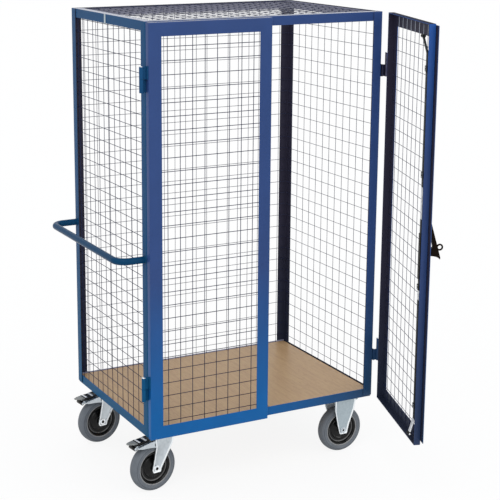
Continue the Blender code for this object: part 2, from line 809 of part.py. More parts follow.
def build_lock():
    case_left = DOOR_FREE_EDGE + CASE_INSET
    inner_face = DOOR_FRONT + STEEL + GAP
    outer_face = DOOR_FRONT - GAP
    spindle_x = DOOR_FREE_EDGE + SPINDLE_INSET
    spindle = (spindle_x, LOCK_HEIGHT)
    hole_radius = SPINDLE_RADIUS + SPINDLE_CLEARANCE
    case_z = (LOCK_HEIGHT - CASE_BELOW, LOCK_HEIGHT + CASE_ABOVE)
    case_y = (inner_face, DOOR_BACK - CASE_BACK_DEPTH)
    case = box("lock_case", (case_left, case_left + CASE_WIDTH), case_y, case_z)
    bridge_y = (inner_face, DOOR_BACK + CASE_BRIDGE_INWARD)
    bridge = box("bridge", (case_left, case_left + GUIDE_WIDTH), bridge_y, case_z)
    hole_ends = (inner_face - STEEL, DOOR_BACK - SPINDLE_END_DEPTH + GAP)
    hole = rod("hole", spindle, hole_radius, "Y", *hole_ends)
    case = cut(join(case, bridge), rod_slot("slot", *case_z), hole)
    plate_x = (spindle_x - ESCUTCHEON_WIDTH / 2, spindle_x + ESCUTCHEON_WIDTH / 2)
    plate_z = (LOCK_HEIGHT - ESCUTCHEON_HEIGHT / 2, LOCK_HEIGHT + ESCUTCHEON_HEIGHT / 2)
    plate_y = (outer_face - ESCUTCHEON_DEPTH, outer_face)
    plate = box("lock_escutcheon", plate_x, plate_y, plate_z)
    hole = rod("hole", spindle, hole_radius, "Y", plate_y[0] - STEEL, plate_y[1] + STEEL)
    plate = cut(plate, hole)
    fixed = [(case, BLACK), (plate, BLACK)]
    for name, middle in (
        ("rod_guide_upper", FRAME_TOP - GUIDE_UPPER_DROP),
        ("rod_guide_lower", BASE_BOTTOM + GUIDE_LOWER_RISE),
    ):
        guide_z = (middle - GUIDE_HEIGHT / 2, middle + GUIDE_HEIGHT / 2)
        guide_y = (inner_face, DOOR_BACK + GUIDE_INWARD)
        guide = box(name, (case_left, case_left + GUIDE_WIDTH), guide_y, guide_z)
        fixed.append((cut(guide, rod_slot("slot", *guide_z)), BLACK))
    for piece, look in fixed:
        piece.data.transform(SWING)
        dress(pivot(piece, RIGHT_HINGE), look)
    roller_top = TOP_RAIL_BOTTOM - ROLLER_RAIL_CLEARANCE
    roller_bottom = BASE_TOP + ROLLER_RAIL_CLEARANCE
    upper_roller = roller_top - ROLLER_RADIUS
    lower_roller = roller_bottom + ROLLER_RADIUS
    upper_end = case_z[1] - ROD_IN_CASE
    lower_end = case_z[0] + ROD_IN_CASE
    upper = lock_rod("lock_rod_upper", upper_end, upper_roller - ROD_CRANK_LENGTH, upper_roller)
    lower = lock_rod("lock_rod_lower", lower_end, lower_roller + ROD_CRANK_LENGTH, lower_roller)
    rod_foot = Vector((DOOR_FREE_EDGE + ROD_INSET + ROD_WIDTH / 2, DOOR_BACK, LOCK_HEIGHT))
    for piece in (upper, lower):
        piece.data.transform(SWING)
        dress(pivot(piece, SWING @ rod_foot), ZINC, smooth=True)
    build_lock_handle(spindle, plate_y[0] - GAP)


def build_lock_handle(spindle, seat):
    """A winged grip on a boss and a spindle, with an eye for a padlock."""
    spindle_x, height = spindle
    inner_end = DOOR_BACK - SPINDLE_END_DEPTH
    shaft = rod("shaft", spindle, SPINDLE_RADIUS, "Y", seat - STEEL, inner_end)
    boss = rod("boss", spindle, GRIP_BOSS_RADIUS, "Y", seat - GRIP_BOSS_LENGTH, seat)
    outline = [(DOOR_FRONT - out, height + up) for out, up in GRIP_OUTLINE]
    grip_x = (spindle_x - GRIP_WIDTH / 2, spindle_x + GRIP_WIDTH / 2)
    grip = prism("lock_handle", outline, "X", *grip_x)
    eye_centre = (DOOR_FRONT - EYE_OUT, height + EYE_RISE)
    eye_x = (spindle_x - EYE_THICKNESS / 2, spindle_x + EYE_THICKNESS / 2)
    eye = rod("eye", eye_centre, EYE_RADIUS, "X", *eye_x)
    hole = rod("hole", eye_centre, EYE_HOLE, "X", eye_x[0] - GRIP_WIDTH, eye_x[1] + GRIP_WIDTH)
    handle = cut(join(grip, boss, shaft, eye), hole)
    handle.data.transform(SWING)
    axis_point = SWING @ Vector((spindle_x, DOOR_FRONT, height))
    dress(pivot(handle, axis_point), HANDLE_BROWN, smooth=True)


def build_wheel(suffix, centre, turn):
    """Tyre, rim and axle of one wheel, made along Y and turned with their fork."""
    half = WHEEL_WIDTH / 2
    inner = RIM_RADIUS + GAP
    tyre_half = [
        (inner, TYRE_FOOT_HALF),
        (inner + TYRE_SHOULDER, half),
        (WHEEL_RADIUS - TYRE_SHOULDER, half),
        (WHEEL_RADIUS, TYRE_TREAD_HALF),
    ]
    tyre = [(r, -y) for r, y in tyre_half] + tyre_half[::-1]
    hub_half = FORK_INNER - GAP
    bore = AXLE_RADIUS + BORE_CLEARANCE
    rim_half = [
        (bore, hub_half),
        (HUB_RADIUS, hub_half),
        (RIM_RADIUS - RIM_WALL, WEB_HALF),
        (RIM_RADIUS, RIM_HALF_WIDTH),
    ]
    rim = [(r, -y) for r, y in rim_half] + rim_half[::-1]
    for name, profile, look in (("tyre_", tyre, TYRE_RUBBER), ("rim_", rim, RIM_PLASTIC)):
        ring = lathe_ring(name + suffix, profile, centre, WHEEL_SIDES)
        ring.data.transform(turn)
        dress(pivot(ring, turn @ centre), look, smooth=True)
    across = (centre[0], centre[2])
    y = centre[1]
    end = AXLE_LENGTH / 2
    head = FORK_INNER + FORK_WALL + GAP
    shaft_ends = (y - head - GAP, y + head + GAP)
    shaft = rod("axle_" + suffix, across, AXLE_RADIUS, "Y", *shaft_ends, SMALL_SIDES)
    heads = []
    for side in (-1, 1):
        limits = sorted((y + side * head, y + side * end))
        heads.append(rod("head", across, AXLE_HEAD_RADIUS, "Y", *limits, BOLT_SIDES))
    axle = join(shaft, *heads)
    axle.data.transform(turn)
    dress(axle, ZINC, smooth=True)


def fork_cheeks(outline, foot, y):
    """Both cheeks of a fork; the outline is measured from the axle."""
    points = [(foot[0] + ahead, foot[1] + up) for ahead, up in outline]
    cheeks = []
    for side in (-1, 1):
        limits = sorted((y + side * FORK_INNER, y + side * (FORK_INNER + FORK_WALL)))
        cheeks.append(prism("cheek", points, "Y", *limits))
    return cheeks


def lean(obj, start, height, shift):
    """Bends a plate at one level, so that its top stands off by the shift."""
    shape = bmesh.new()
    shape.from_mesh(obj.data)
    everything = shape.verts[:] + shape.edges[:] + shape.faces[:]
    bmesh.ops.bisect_plane(shape, geom=everything, plane_co=(0, 0, start), plane_no=(0, 0, 1))
    for corner in shape.verts:
        corner.co.y += shift * max(0, corner.co.z - start) / height
    shape.to_mesh(obj.data)
    shape.free()
    return obj


def axle_hole(foot, y):
    reach = AXLE_LENGTH / 2
    radius = (AXLE_RADIUS + BORE_CLEARANCE) / math.cos(math.pi / SMALL_SIDES)
    return rod("hole", foot, radius, "Y", y - reach, y + reach, SMALL_SIDES)


def build_fixed_castor(suffix, y):
    top = BASE_BOTTOM - GAP
    plate_x = (FIXED_X - PLATE_LENGTH / 2, FIXED_X + PLATE_LENGTH / 2)
    plate_y = (y - PLATE_WIDTH / 2, y + PLATE_WIDTH / 2)
    plate = box("fixed_fork_" + suffix, plate_x, plate_y, (top - PLATE_THICKNESS, top))
    foot = (FIXED_X, AXLE_Z)
    root = top - PLATE_THICKNESS / 2
    rise = root - AXLE_Z
    ahead, up = FIXED_LEG_SHOULDER
    outline = [(-ahead, up), (-FIXED_LEG_TOP, rise), (FIXED_LEG_TOP, rise), (ahead, up), *FORK_FOOT]
    cheeks = fork_cheeks(outline, foot, y)
    for side, cheek in zip((-1, 1), cheeks):
        lean(cheek, AXLE_Z + FIXED_LEAN_RISE, rise - FIXED_LEAN_RISE, side * FIXED_LEAN)
    dress(cut(join(plate, *cheeks), axle_hole(foot, y)), ZINC, smooth=True)
    build_wheel(suffix, Vector((FIXED_X, y, AXLE_Z)), Matrix.Identity(4))


def build_swivel_castor(suffix, y):
    top = BASE_BOTTOM - GAP
    plate_x = (SWIVEL_X - PLATE_LENGTH / 2, SWIVEL_X + PLATE_LENGTH / 2)
    plate_y = (y - PLATE_WIDTH / 2, y + PLATE_WIDTH / 2)
    plate = box("swivel_plate_" + suffix, plate_x, plate_y, (top - PLATE_THICKNESS, top))
    race_bottom = top - PLATE_THICKNESS - RACE_HEIGHT
    race = rod("race", (SWIVEL_X, y), RACE_RADIUS, "Z", race_bottom, top - PLATE_THICKNESS / 2)
    dress(join(plate, race), ZINC, smooth=True)
    axle_x = SWIVEL_X - SWIVEL_TRAIL
    foot = (axle_x, AXLE_Z)
    crown_top = race_bottom - GAP
    crown_z = (crown_top - CROWN_HEIGHT - CROWN_PLATE, crown_top - CROWN_HEIGHT)
    crown_x = (SWIVEL_X - CROWN_BEHIND, SWIVEL_X + CROWN_AHEAD)
    outer = FORK_INNER + FORK_WALL
    name = "swivel_fork_" + suffix
    crown = box(name, crown_x, (y - outer, y + outer), crown_z)
    disc = rod("disc", (SWIVEL_X, y), CROWN_RADIUS, "Z", crown_z[1] - CROWN_PLATE / 2, crown_top)
    root = crown_z[0] + CROWN_PLATE / 2
    outline = [
        (crown_x[0] - axle_x, root - AXLE_Z),
        (crown_x[1] - axle_x, root - AXLE_Z),
        SWIVEL_LEG_SHOULDER,
        *FORK_FOOT,
        *SWIVEL_LEG_BACK,
        *SWIVEL_WING,
    ]
    cheeks = fork_cheeks(outline, foot, y)
    pin = (SWIVEL_X - PEDAL_PIN_BEHIND, top - PEDAL_PIN_DROP)
    pin_radius = (PEDAL_PIN_RADIUS + BORE_CLEARANCE) / math.cos(math.pi / SMALL_SIDES)
    pin_ends = (y - outer - STEEL, y + outer + STEEL)
    pin_hole = rod("pin_hole", pin, pin_radius, "Y", *pin_ends, SMALL_SIDES)
    fork = cut(join(crown, disc, *cheeks), axle_hole(foot, y), pin_hole)
    centre = Vector((SWIVEL_X, y, crown_top))
    turn = Matrix.Translation(centre) @ Matrix.Rotation(SWIVEL_TURN, 4, "Z") @ Matrix.Translation(-centre)
    fork.data.transform(turn)
    dress(pivot(fork, centre), ZINC, smooth=True)
    outline = [(pin[0] - along, pin[1] + up) for along, up in PEDAL_OUTLINE]
    half = PEDAL_HALF_WIDTH
    arm = prism("brake_pedal_" + suffix, outline, "Y", y - half, y + half)
    bar = rod("bar", pin, PEDAL_PIN_RADIUS, "Y", y - outer, y + outer, SMALL_SIDES)
    edge = [(pin[0] - along, y - half_width) for along, half_width in PEDAL_PLATE]
    edge += [(pin[0] - along, y + half_width) for along, half_width in reversed(PEDAL_PLATE)]
    plate_z = (pin[1] + PEDAL_PLATE_LOW, pin[1] + PEDAL_PLATE_HIGH)
    pedal = join(arm, bar, prism("foot_plate", edge, "Z", *plate_z))
    pedal.data.transform(turn)
    dress(pivot(pedal, turn @ Vector((pin[0], y, pin[1]))), ZINC)
    build_wheel(suffix, Vector((axle_x, y, AXLE_Z)), turn)


def build_castors():
    for row, y in (("front", WHEEL_Y), ("rear", -WHEEL_Y)):
        build_swivel_castor(row + "_left", y)
        build_fixed_castor(row + "_right", y)


def main():
    clear_scene()
    build_rails()
    build_beams()
    build_board()
    build_posts()
    build_fixed_mesh()
    build_push_handle()
    build_hinges()
    build_doors()
    build_lock()
    build_castors()


main()
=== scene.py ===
"""Looks of the mesh cabinet trolley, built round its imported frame. Metres, +Z up, front faces -Y."""
import math

import bmesh
import bpy
from mathutils import Matrix, Vector


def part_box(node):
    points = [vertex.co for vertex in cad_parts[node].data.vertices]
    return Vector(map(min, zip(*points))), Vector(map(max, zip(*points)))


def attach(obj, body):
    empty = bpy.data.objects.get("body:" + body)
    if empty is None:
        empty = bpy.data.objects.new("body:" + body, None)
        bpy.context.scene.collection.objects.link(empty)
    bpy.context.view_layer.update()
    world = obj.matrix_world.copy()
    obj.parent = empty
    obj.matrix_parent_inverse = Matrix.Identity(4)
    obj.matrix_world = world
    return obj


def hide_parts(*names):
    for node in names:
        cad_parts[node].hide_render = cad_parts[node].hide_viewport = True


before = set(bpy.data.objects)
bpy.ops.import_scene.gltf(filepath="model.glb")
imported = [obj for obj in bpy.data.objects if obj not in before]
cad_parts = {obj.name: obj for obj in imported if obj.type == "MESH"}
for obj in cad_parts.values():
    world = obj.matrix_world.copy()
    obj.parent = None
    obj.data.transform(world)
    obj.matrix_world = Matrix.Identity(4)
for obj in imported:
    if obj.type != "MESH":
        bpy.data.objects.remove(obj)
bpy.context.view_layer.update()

MM = 0.001
HALF = 0.5
FULL_TURN = 2 * math.pi
QUARTER_TURN = math.pi / 2
UP = Vector((0, 0, 1))

# Main planes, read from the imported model
LEFT, FRONT, POST_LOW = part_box("post_front_left")[0]
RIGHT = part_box("post_front_right")[1].x
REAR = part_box("post_rear_left")[1].y
BASE_LOW, BASE_TOP = [corner.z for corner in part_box("base_rail_front")]
TOP_RAIL_LOW, TOP = [corner.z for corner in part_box("top_rail_front")]
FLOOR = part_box("tyre_front_left")[0].z

# Sheet, gaps and the rounding of edges
STEEL = 3 * MM
GAP = 0.3 * MM
RAIL_INSET = STEEL + GAP
RAIL_DEPTH = 33 * MM
LEG_INNER = RAIL_INSET + STEEL
LEDGE_TOP = -15.3 * MM
POST_LEG = 40 * MM
POST_RADIUS = 5 * MM
NOTCH_WIDTH = 29.5 * MM
NOTCH_REACH = 31.3 * MM
ROUND_SLOT = 0.5 * MM
ROUND_FINE = 0.6 * MM
ROUND_FOLD = 0.7 * MM
ROUND_SHEET = 0.8 * MM
ROUND_MOULD = 1 * MM
ROUND_THICK = 1.2 * MM
ROUND_CASE = 1.5 * MM
ROUND_CAST = 1.6 * MM
ROUND_COVER = 2.5 * MM

# Angles in degrees, above which an edge is rounded or stays sharp
BEVEL_CREASE = 34
LEG_CREASE = 50
BOSS_CREASE = 30
RIM_CREASE = 35
BODY_CREASE = 40
TYRE_CREASE = 50
WIRE_CREASE = 60

# Shares that tell faces apart, shape a rounded end and mix the floor's glow
FAR_SHARE = 0.9
EDGE_SHARE = 0.2
DOME_SHARE = 0.3
GLOW_SHARE = 0.87

# Wire mesh: radii of the wires, their spacing, and how far their ends stay from the frame's edges
WIRE = 1 * MM
LEFT_WIRE = 1.2 * MM
DOOR_WIRE = 1.35 * MM
ROOF_WIRE = 0.9 * MM
WIRE_PITCH = 50 * MM
WIRE_WELD = 0.4 * MM
WIRE_FIRST_ROW = 34 * MM
WIRE_SIDES = 8
COLUMNS_LONG = 9
COLUMNS_DEEP = 6
COLUMNS_DOOR = 8
MESH_MARGIN = 16 * MM
ROW_MARGIN = 10 * MM
REAR_MARGIN = 13 * MM
SIDE_MARGIN = 14 * MM
FIRST_COLUMN = 75 * MM
SPOT_REACH = 6 * MM
SPOT_RADIUS = 2 * MM

# Doors and hinges, in the frame of the shut right door
DOOR_BACK = FRONT - 2 * MM
DOOR_DEPTH = 25 * MM
DOOR_FRONT = DOOR_BACK - DOOR_DEPTH
DOOR_LOW = BASE_LOW + 1 * MM
DOOR_HIGH = TOP - 2 * MM
DOOR_FREE = 0.75 * MM
DOOR_HINGE = RIGHT - 0.5 * MM
DOOR_FACE = 50 * MM
DOOR_FOLD = 3 * MM
DOOR_LAP = 6 * MM
DOOR_MARGIN = 12 * MM
STRIP_OVER = 25 * MM
STRIP_BEHIND = 12 * MM
STRIP_LOW = DOOR_LOW + 15 * MM
STRIP_HIGH = DOOR_HIGH - 5 * MM
HINGE = Vector((RIGHT + 20 * MM, FRONT - 8 * MM, 0))
OPEN_ANGLE = math.radians(71.6)
SWING = Matrix.Translation(HINGE) @ Matrix.Rotation(OPEN_ANGLE, 4, "Z") @ Matrix.Translation(-HINGE)
MIRROR = Matrix.Scale(-1, 4, Vector((1, 0, 0)))
STAY = Matrix.Identity(4)
HINGE_RADIUS = 8 * MM
HINGE_HALF = 47.5 * MM
HINGE_FROM_END = 200 * MM
PIN_RADIUS = 4.5 * MM
PIN_RISE = 40 * MM
POST_LEAF = 28 * MM
ARM_OUT = 5 * MM
ARM_THICK = 4 * MM
ARM_SHORT = 6 * MM
DOOR_LEAF = 19 * MM

# Lock
LOCK_Z = 698 * MM
SPINDLE_X = DOOR_FREE + 30 * MM
LOCK_LEFT = DOOR_FREE + 4.2 * MM
LOCK_INNER = DOOR_FRONT + STEEL + GAP
LOCK_OUTER = DOOR_FRONT - GAP
COVER_DEPTH = 7 * MM
ROD_LEFT = DOOR_FREE + 7 * MM
ROD_WIDTH = 16 * MM
ROD_BACK = DOOR_BACK + 0.8 * MM
ROD_THICK = 5 * MM
ROD_CRANK = 60 * MM
ROD_REACH = 17.5 * MM
ROD_HIDDEN = 30 * MM
ROLLER = 6.5 * MM
GUIDE_WIDTH = 22 * MM
GUIDE_HALF = 10 * MM
GUIDE_PLAY = 0.4 * MM
GUIDE_BACK = DOOR_BACK + 3 * MM
CASE_Z = (LOCK_Z - 95 * MM, LOCK_Z + 74 * MM)
CASE_WIDTH = 35 * MM
CASE_BACK = DOOR_BACK - 7 * MM
BRIDGE_BACK = DOOR_BACK + 2.5 * MM
SCREW_X = LOCK_LEFT + 29 * MM
SCREW_FROM_END = 12 * MM
COVER_HALF = 13.5 * MM
COVER_REACH = 31 * MM
GRIP_HALF = 8 * MM
EYE_OUT = 54 * MM
EYE_UP = 17 * MM
EYE_RADIUS = 9.9 * MM
EYE_BAR = 3.2 * MM

# Castors
WHEEL = 95 * MM
AXLE_Z = FLOOR + WHEEL
FORK_INNER = 25.5 * MM
FORK_WALL = 4 * MM
FORK_OUTER = FORK_INNER + FORK_WALL
RIM = 66 * MM
PLATE = 5 * MM
PLATE_LENGTH = 110 * MM
PLATE_WIDTH = 135 * MM
PLATE_CORNER = 8 * MM
BOLT_FROM_END = 13 * MM
BOLT_FROM_SIDE = 9.5 * MM
AXLE_RADIUS = 6 * MM
RIB_EDGE = 1.2 * MM
RIB_TOP = 3.4 * MM
RIB_FOOT = 6 * MM
FIXED_RIB = 3.2 * MM
SWIVEL_RIB = 3 * MM
SLAB_AHEAD = 40 * MM
SLAB_BEHIND = 46 * MM
SLAB_TOP = 5 * MM
SLAB_LOW = 10 * MM
PEDAL_AHEAD = 30 * MM
PEDAL_DROP = 38 * MM
PEDAL_BAR = 4 * MM
PEDAL_REACH = 29 * MM
WHEEL_SIDES = 96
HEXAGON = 6
CASTOR_TURN = math.radians(8)
SWIVEL_TRAIL = 40 * MM
LEAN_START = 25 * MM
LEAN_SHIFT = 17 * MM
# Radii of the black discs at the axles' ends, painted shade in their sockets
LEFT_OPENING = 6.2 * MM
RIGHT_OPENING = 4.4 * MM

# Lower end of a fork leg, side view from the axle in millimetres: (ahead, up)
FORK_FOOT = [(21, -3), (19.5, -12.5), (16, -17), (-13, -17), (-17, -13), (-19.5, -3)]

# For each axis: the two coordinates across it, and its own
AXES = {"X": (1, 2, 0), "Y": (0, 2, 1), "Z": (0, 1, 2)}


# Mesh code

def mm(*points):
    """Points given in millimetres."""
    return [(first * MM, second * MM) for first, second in points]


def place(axis, first, second, along):
    """The point with two coordinates across the axis and one along it."""
    point = [0, 0, 0]
    for index, value in zip(AXES[axis], (first, second, along)):
        point[index] = value
    return point


def across_of(axis, point):
    """The two coordinates of a point across an axis."""
    return [point[index] for index in AXES[axis][:2]]


def add_object(name, data):
    obj = bpy.data.objects.new(name, data)
    bpy.context.scene.collection.objects.link(obj)
    return obj


def add_mesh(shape):
    """An object from a finished bmesh shape."""
    mesh = bpy.data.meshes.new("part")
    shape.to_mesh(mesh)
    shape.free()
    return add_object("part", mesh)


def form(points, faces):
    """An object from points and faces, with its faces turned outwards."""
    shape = bmesh.new()
    corners = [shape.verts.new(point) for point in points]
    for face in faces:
        shape.faces.new([corners[index] for index in face])
    bmesh.ops.recalc_face_normals(shape, faces=shape.faces)
    return add_mesh(shape)


def merge(parts):
    """Several closed bodies as one object."""
    shape = bmesh.new()
    for part in parts:
        shape.from_mesh(part.data)
        bpy.data.objects.remove(part, do_unlink=True)
    return add_mesh(shape)


def loops(rings, closed=False):
    """A body through rings of equal length; open ends get a flat cap."""
    count = len(rings[0])
    points = [point for ring in rings for point in ring]
    faces = []
    spans = len(rings) if closed else len(rings) - 1
    for ring in range(spans):
        low = ring * count
        high = (ring + 1) % len(rings) * count
        for index in range(count):
            after = (index + 1) % count
            faces.append([low + index, low + after, high + after, high + index])
    if not closed:
        faces += [range(count), range(len(points) - count, len(points))]
    return form(points, faces)


def prism(outline, axis, low, high):
    """An outline pulled along an axis; low and high may be one value or one for each corner."""
    ends = [end if hasattr(end, "__len__") else [end] * len(outline) for end in (low, high)]
    return loops([[place(axis, u, v, w) for (u, v), w in zip(outline, end)] for end in ends])


def box(x, y, z):
    return prism([(x[0], y[0]), (x[1], y[0]), (x[1], y[1]), (x[0], y[1])], "Z", *z)


def circle(centre, radius, sides):
    """Points round a circle."""
    return arc(centre, radius, sides + 1, 0, FULL_TURN)[:-1]


def arc(centre, radius, count, start, turn):
    """Points along an arc, its two ends among them."""
    angles = [start + turn * step / (count - 1) for step in range(count)]
    return [(centre[0] + radius * math.cos(angle), centre[1] + radius * math.sin(angle)) for angle in angles]


def lathe(profile, centre, axis, sides=32, crease=BODY_CREASE):
    """A closed (radius, along) profile turned about an axis through the centre."""
    rings = [circle(across_of(axis, centre), radius, sides) for radius, along in profile]
    base = centre[AXES[axis][2]]
    return smooth(loops([
        [place(axis, *ring[step], base + along) for ring, (radius, along) in zip(rings, profile)]
        for step in range(sides)
    ], closed=True), crease)


def turned(profile, centre, axis, sides=24, crease=BODY_CREASE):
    """A solid turned body: (radius, along) pairs from one end to the other; a hexagon stays unsmoothed."""
    across = across_of(axis, centre)
    base = centre[AXES[axis][2]]
    body = loops([
        [place(axis, u, v, base + along) for u, v in circle(across, radius, sides)]
        for radius, along in profile
    ])
    return body if sides == HEXAGON else smooth(body, crease)


def round_points(centre, across, other, radius, sides):
    """Points of a circle that lies in two directions."""
    angles = [FULL_TURN * step / sides for step in range(sides)]
    return [centre + (across * math.cos(angle) + other * math.sin(angle)) * radius for angle in angles]


def sweep(path, radius, sides):
    """A round bar along a path that stays in one level plane."""
    rings = []
    for index, point in enumerate(path):
        along = (path[min(index + 1, len(path) - 1)] - path[max(index - 1, 0)]).normalized()
        rings.append(round_points(point, along.cross(UP), UP, radius, sides))
    return loops(rings)


def lines_along(axis, ends, spots):
    """Lines along an axis, between two ends, one at each spot across it."""
    return [[Vector(place(axis, *spot, end)) for end in ends] for spot in spots]


def wires(lines, radius):
    """Straight round wires, each from one point to another, as one object."""
    points = []
    faces = []
    for start, end in lines:
        along = (end - start).normalized()
        across = along.orthogonal().normalized()
        first = len(points)
        second = first + WIRE_SIDES
        for centre in (start, end):
            points += round_points(centre, across, along.cross(across), radius, WIRE_SIDES)
        for step in range(WIRE_SIDES):
            after = (step + 1) % WIRE_SIDES
            faces.append([first + step, first + after, second + after, second + step])
        faces += [range(first, second), range(second, second + WIRE_SIDES)]
    return smooth(form(points, faces), WIRE_CREASE)


def soften(obj, width=ROUND_SHEET, crease=BEVEL_CREASE):
    """Rounds the sharp edges and keeps the flat faces flat to the light."""
    obj.data.shade_smooth()
    modifier = obj.modifiers.new("edges", "BEVEL")
    modifier.width = width
    modifier.segments = 3 if width > ROUND_MOULD else 2
    modifier.limit_method = "ANGLE"
    modifier.angle_limit = math.radians(crease)
    modifier.harden_normals = True
    modifier.use_clamp_overlap = True
    graph = bpy.context.evaluated_depsgraph_get()
    mesh = bpy.data.meshes.new_from_object(obj.evaluated_get(graph))
    obj.modifiers.clear()
    obj.data = mesh
    return obj


def smooth(obj, crease=BODY_CREASE):
    obj.data.shade_smooth()
    obj.data.set_sharp_from_angle(angle=math.radians(crease))
    return obj


def flip(obj, matrix):
    """Moves the raw shape; a mirror turns its faces the right way again."""
    obj.data.transform(matrix)
    if matrix.determinant() < 0:
        obj.data.flip_normals()
    return obj


def split_looks(obj, rule):
    """Gives each face the material whose number the rule works out from its middle and normal."""
    for polygon in obj.data.polygons:
        polygon.material_index = int(rule(polygon.center, polygon.normal))
    return obj


def fit(name, parts, body, slot, looks, *nodes, rule=None, turn=STAY):
    """Makes a piece of its parts, hands it to its body and hides the CAD nodes it stands for; the slot is
    not used.
    """
    obj = merge(parts) if isinstance(parts, list) else parts
    obj.name = name
    if rule:
        split_looks(obj, rule)
    flip(obj, turn)
    for look in looks if isinstance(looks, list) else [looks]:
        obj.data.materials.append(look)
    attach(obj, body)
    if nodes:
        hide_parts(*nodes)


def stand_in(node, parts, body, slot, looks, **settings):
    """A piece that stands for the CAD node it is named after."""
    fit(node + "_form", parts, body, slot, looks, node, **settings)


# Materials

class Tree:
    """Short ways to add nodes to a material or to the world."""

    def __init__(self, owner):
        owner.use_nodes = True
        self.nodes = owner.node_tree.nodes
        self.links = owner.node_tree.links

    def add(self, kind, values=None, **settings):
        """A node with its settings; each of the values is a number, a colour or another node's output."""
        node = self.nodes.new(kind)
        for key, value in settings.items():
            setattr(node, key, value)
        for key, value in (values or {}).items():
            if isinstance(value, bpy.types.NodeSocket):
                self.links.new(value, node.inputs[key])
            else:
                node.inputs[key].default_value = value
        return node

    def math(self, operation, first, second):
        return self.add("ShaderNodeMath", {0: first, 1: second}, operation=operation).outputs["Value"]


class Look(Tree):
    """A material whose colour, roughness and bumps vary over the surface."""

    def __init__(self, name, roughness, metallic=0, specular=HALF):
        self.material = bpy.data.materials.new(name)
        super().__init__(self.material)
        self.shader = self.nodes["Principled BSDF"]
        self.shader.inputs["Roughness"].default_value = roughness
        self.shader.inputs["Metallic"].default_value = metallic
        self.shader.inputs["Specular IOR Level"].default_value = specular

    def place(self, scale=(1, 1, 1)):
        """The piece's own coordinates in metres, stretched by a scale."""
        coordinates = self.add("ShaderNodeTexCoord").outputs["Object"]
        return self.add("ShaderNodeMapping", {"Scale": scale, "Vector": coordinates}).outputs["Vector"]

    def noise(self, vector, scale, detail=2, roughness=HALF, distortion=0):
        values = {"Scale": scale, "Detail": detail, "Roughness": roughness, "Distortion": distortion}
        return self.add("ShaderNodeTexNoise", {**values, "Vector": vector}).outputs["Fac"]

    def ramp(self, factor, *stops):
        node = self.add("ShaderNodeValToRGB", {"Fac": factor})
        elements = node.color_ramp.elements
        while len(elements) < len(stops):
            elements.new(HALF)
        for element, (position, colour) in zip(elements, stops):
            element.position = position
            element.color = (*colour, 1)
        return node.outputs["Color"]

    def span(self, value, low, high, to_low=0, to_high=1):
        values = {"From Min": low, "From Max": high, "To Min": to_low, "To Max": to_high, "Value": value}
        return self.add("ShaderNodeMapRange", values).outputs["Result"]

    def mix(self, factor, first, second, blend="MIX"):
        first, second = [(*value, 1) if isinstance(value, tuple) else value for value in (first, second)]
        values = {"Factor": factor, 6: first, 7: second}
        return self.add("ShaderNodeMix", values, data_type="RGBA", blend_type=blend).outputs[2]

    def part_of(self, vector, axis):
        """One coordinate of a vector."""
        return self.add("ShaderNodeSeparateXYZ", {"Vector": vector}).outputs[axis]

    def finish(self, colour, height, strength, distance=0.2 * MM, **varied):
        """Links what varies over the surface to the shader, and gives the material."""
        bump = self.add("ShaderNodeBump", {"Strength": strength, "Distance": distance, "Height": height})
        for key, out in {"Base Color": colour, "Normal": bump.outputs["Normal"], **varied}.items():
            self.links.new(out, self.shader.inputs[key])
        return self.material


# Heights of the paint's painted light: its low tone turns into its high tone between the first two, and into
# its top tone between the third and the top
FADE_LOW = 60 * MM
FADE_HIGH = 590 * MM
FADE_TOP = 1000 * MM
# Heights of the lock rods' painted reflections, where the dark steel turns bright
ROD_REFLECTIONS = ((BASE_LOW, 70 * MM), (525 * MM, 572 * MM), (825 * MM, 942 * MM))
WHITE = (1, 1, 1)


def powder_paint(name, roughness, specular, high, low=None, shaded_low_right=None, top=None):
    """Powder coat: a colour that shifts up and across the piece as painted light and shade, faint clouds and
    an orange-peel skin.
    """
    look = Look(name, roughness, specular=specular)
    metres = look.place()
    up = look.part_of(metres, "Z")
    low = low or high
    # Painted shade: the low tone turns into a shaded one towards the right side
    if shaded_low_right:
        low = look.mix(look.span(look.part_of(metres, "X"), 0, RIGHT), low, shaded_low_right)
    # Painted light and shade: the tone turns from the low one to the high one going up
    tone = look.mix(look.span(up, FADE_LOW, FADE_HIGH), low, high)
    # Painted highlight: a lighter top tone near the top
    if top:
        tone = look.mix(look.span(up, FADE_TOP, TOP), tone, top)
    clouds = look.ramp(look.noise(metres, 9, 3), (0.3, (0.9, 0.9, 0.9)), (0.7, WHITE))
    colour = look.mix(1, tone, clouds, "MULTIPLY")
    peel = look.noise(metres, 420)
    rough = look.span(peel, 0.3, 0.7, roughness - 0.05, roughness + 0.06)
    return look.finish(colour, peel, 0.12, 0.25 * MM, Roughness=rough)


def beech_board(name):
    """Beech decor: long soft grain from front to back, short dark rays and a satin lacquer."""
    look = Look(name, 0.42, specular=0.25)
    waves = look.noise(look.place((26, 2.2, 26)), 3, 4, 0.55, 0.6)
    fibres = look.noise(look.place((260, 14, 260)), 2, 3)
    browns = ((0.3, (0.4, 0.248, 0.13)), (0.5, (0.455, 0.295, 0.16)), (0.72, (0.5, 0.34, 0.188)))
    tone = look.ramp(waves, *browns)
    flecks = look.ramp(fibres, (0.32, (0.8, 0.76, 0.72)), (0.46, WHITE))
    colour = look.mix(1, tone, flecks, "MULTIPLY")
    rough = look.span(waves, 0.3, 0.7, 0.33, 0.45)
    return look.finish(colour, fibres, 0.1, 0.15 * MM, Roughness=rough)


def zinc_plate(name, bright, dull, roughness=0.34):
    """Galvanised steel: a mottled bright skin with a brushed roughness."""
    look = Look(name, roughness, metallic=1)
    metres = look.place()
    mottle = look.noise(metres, 95, 4, 0.6)
    rough = look.span(mottle, 0.3, 0.7, roughness + 0.08, roughness - 0.06)
    colour = look.ramp(mottle, (0.3, dull), (0.7, bright))
    return look.finish(colour, look.noise(metres, 600), 0.08, Roughness=rough)


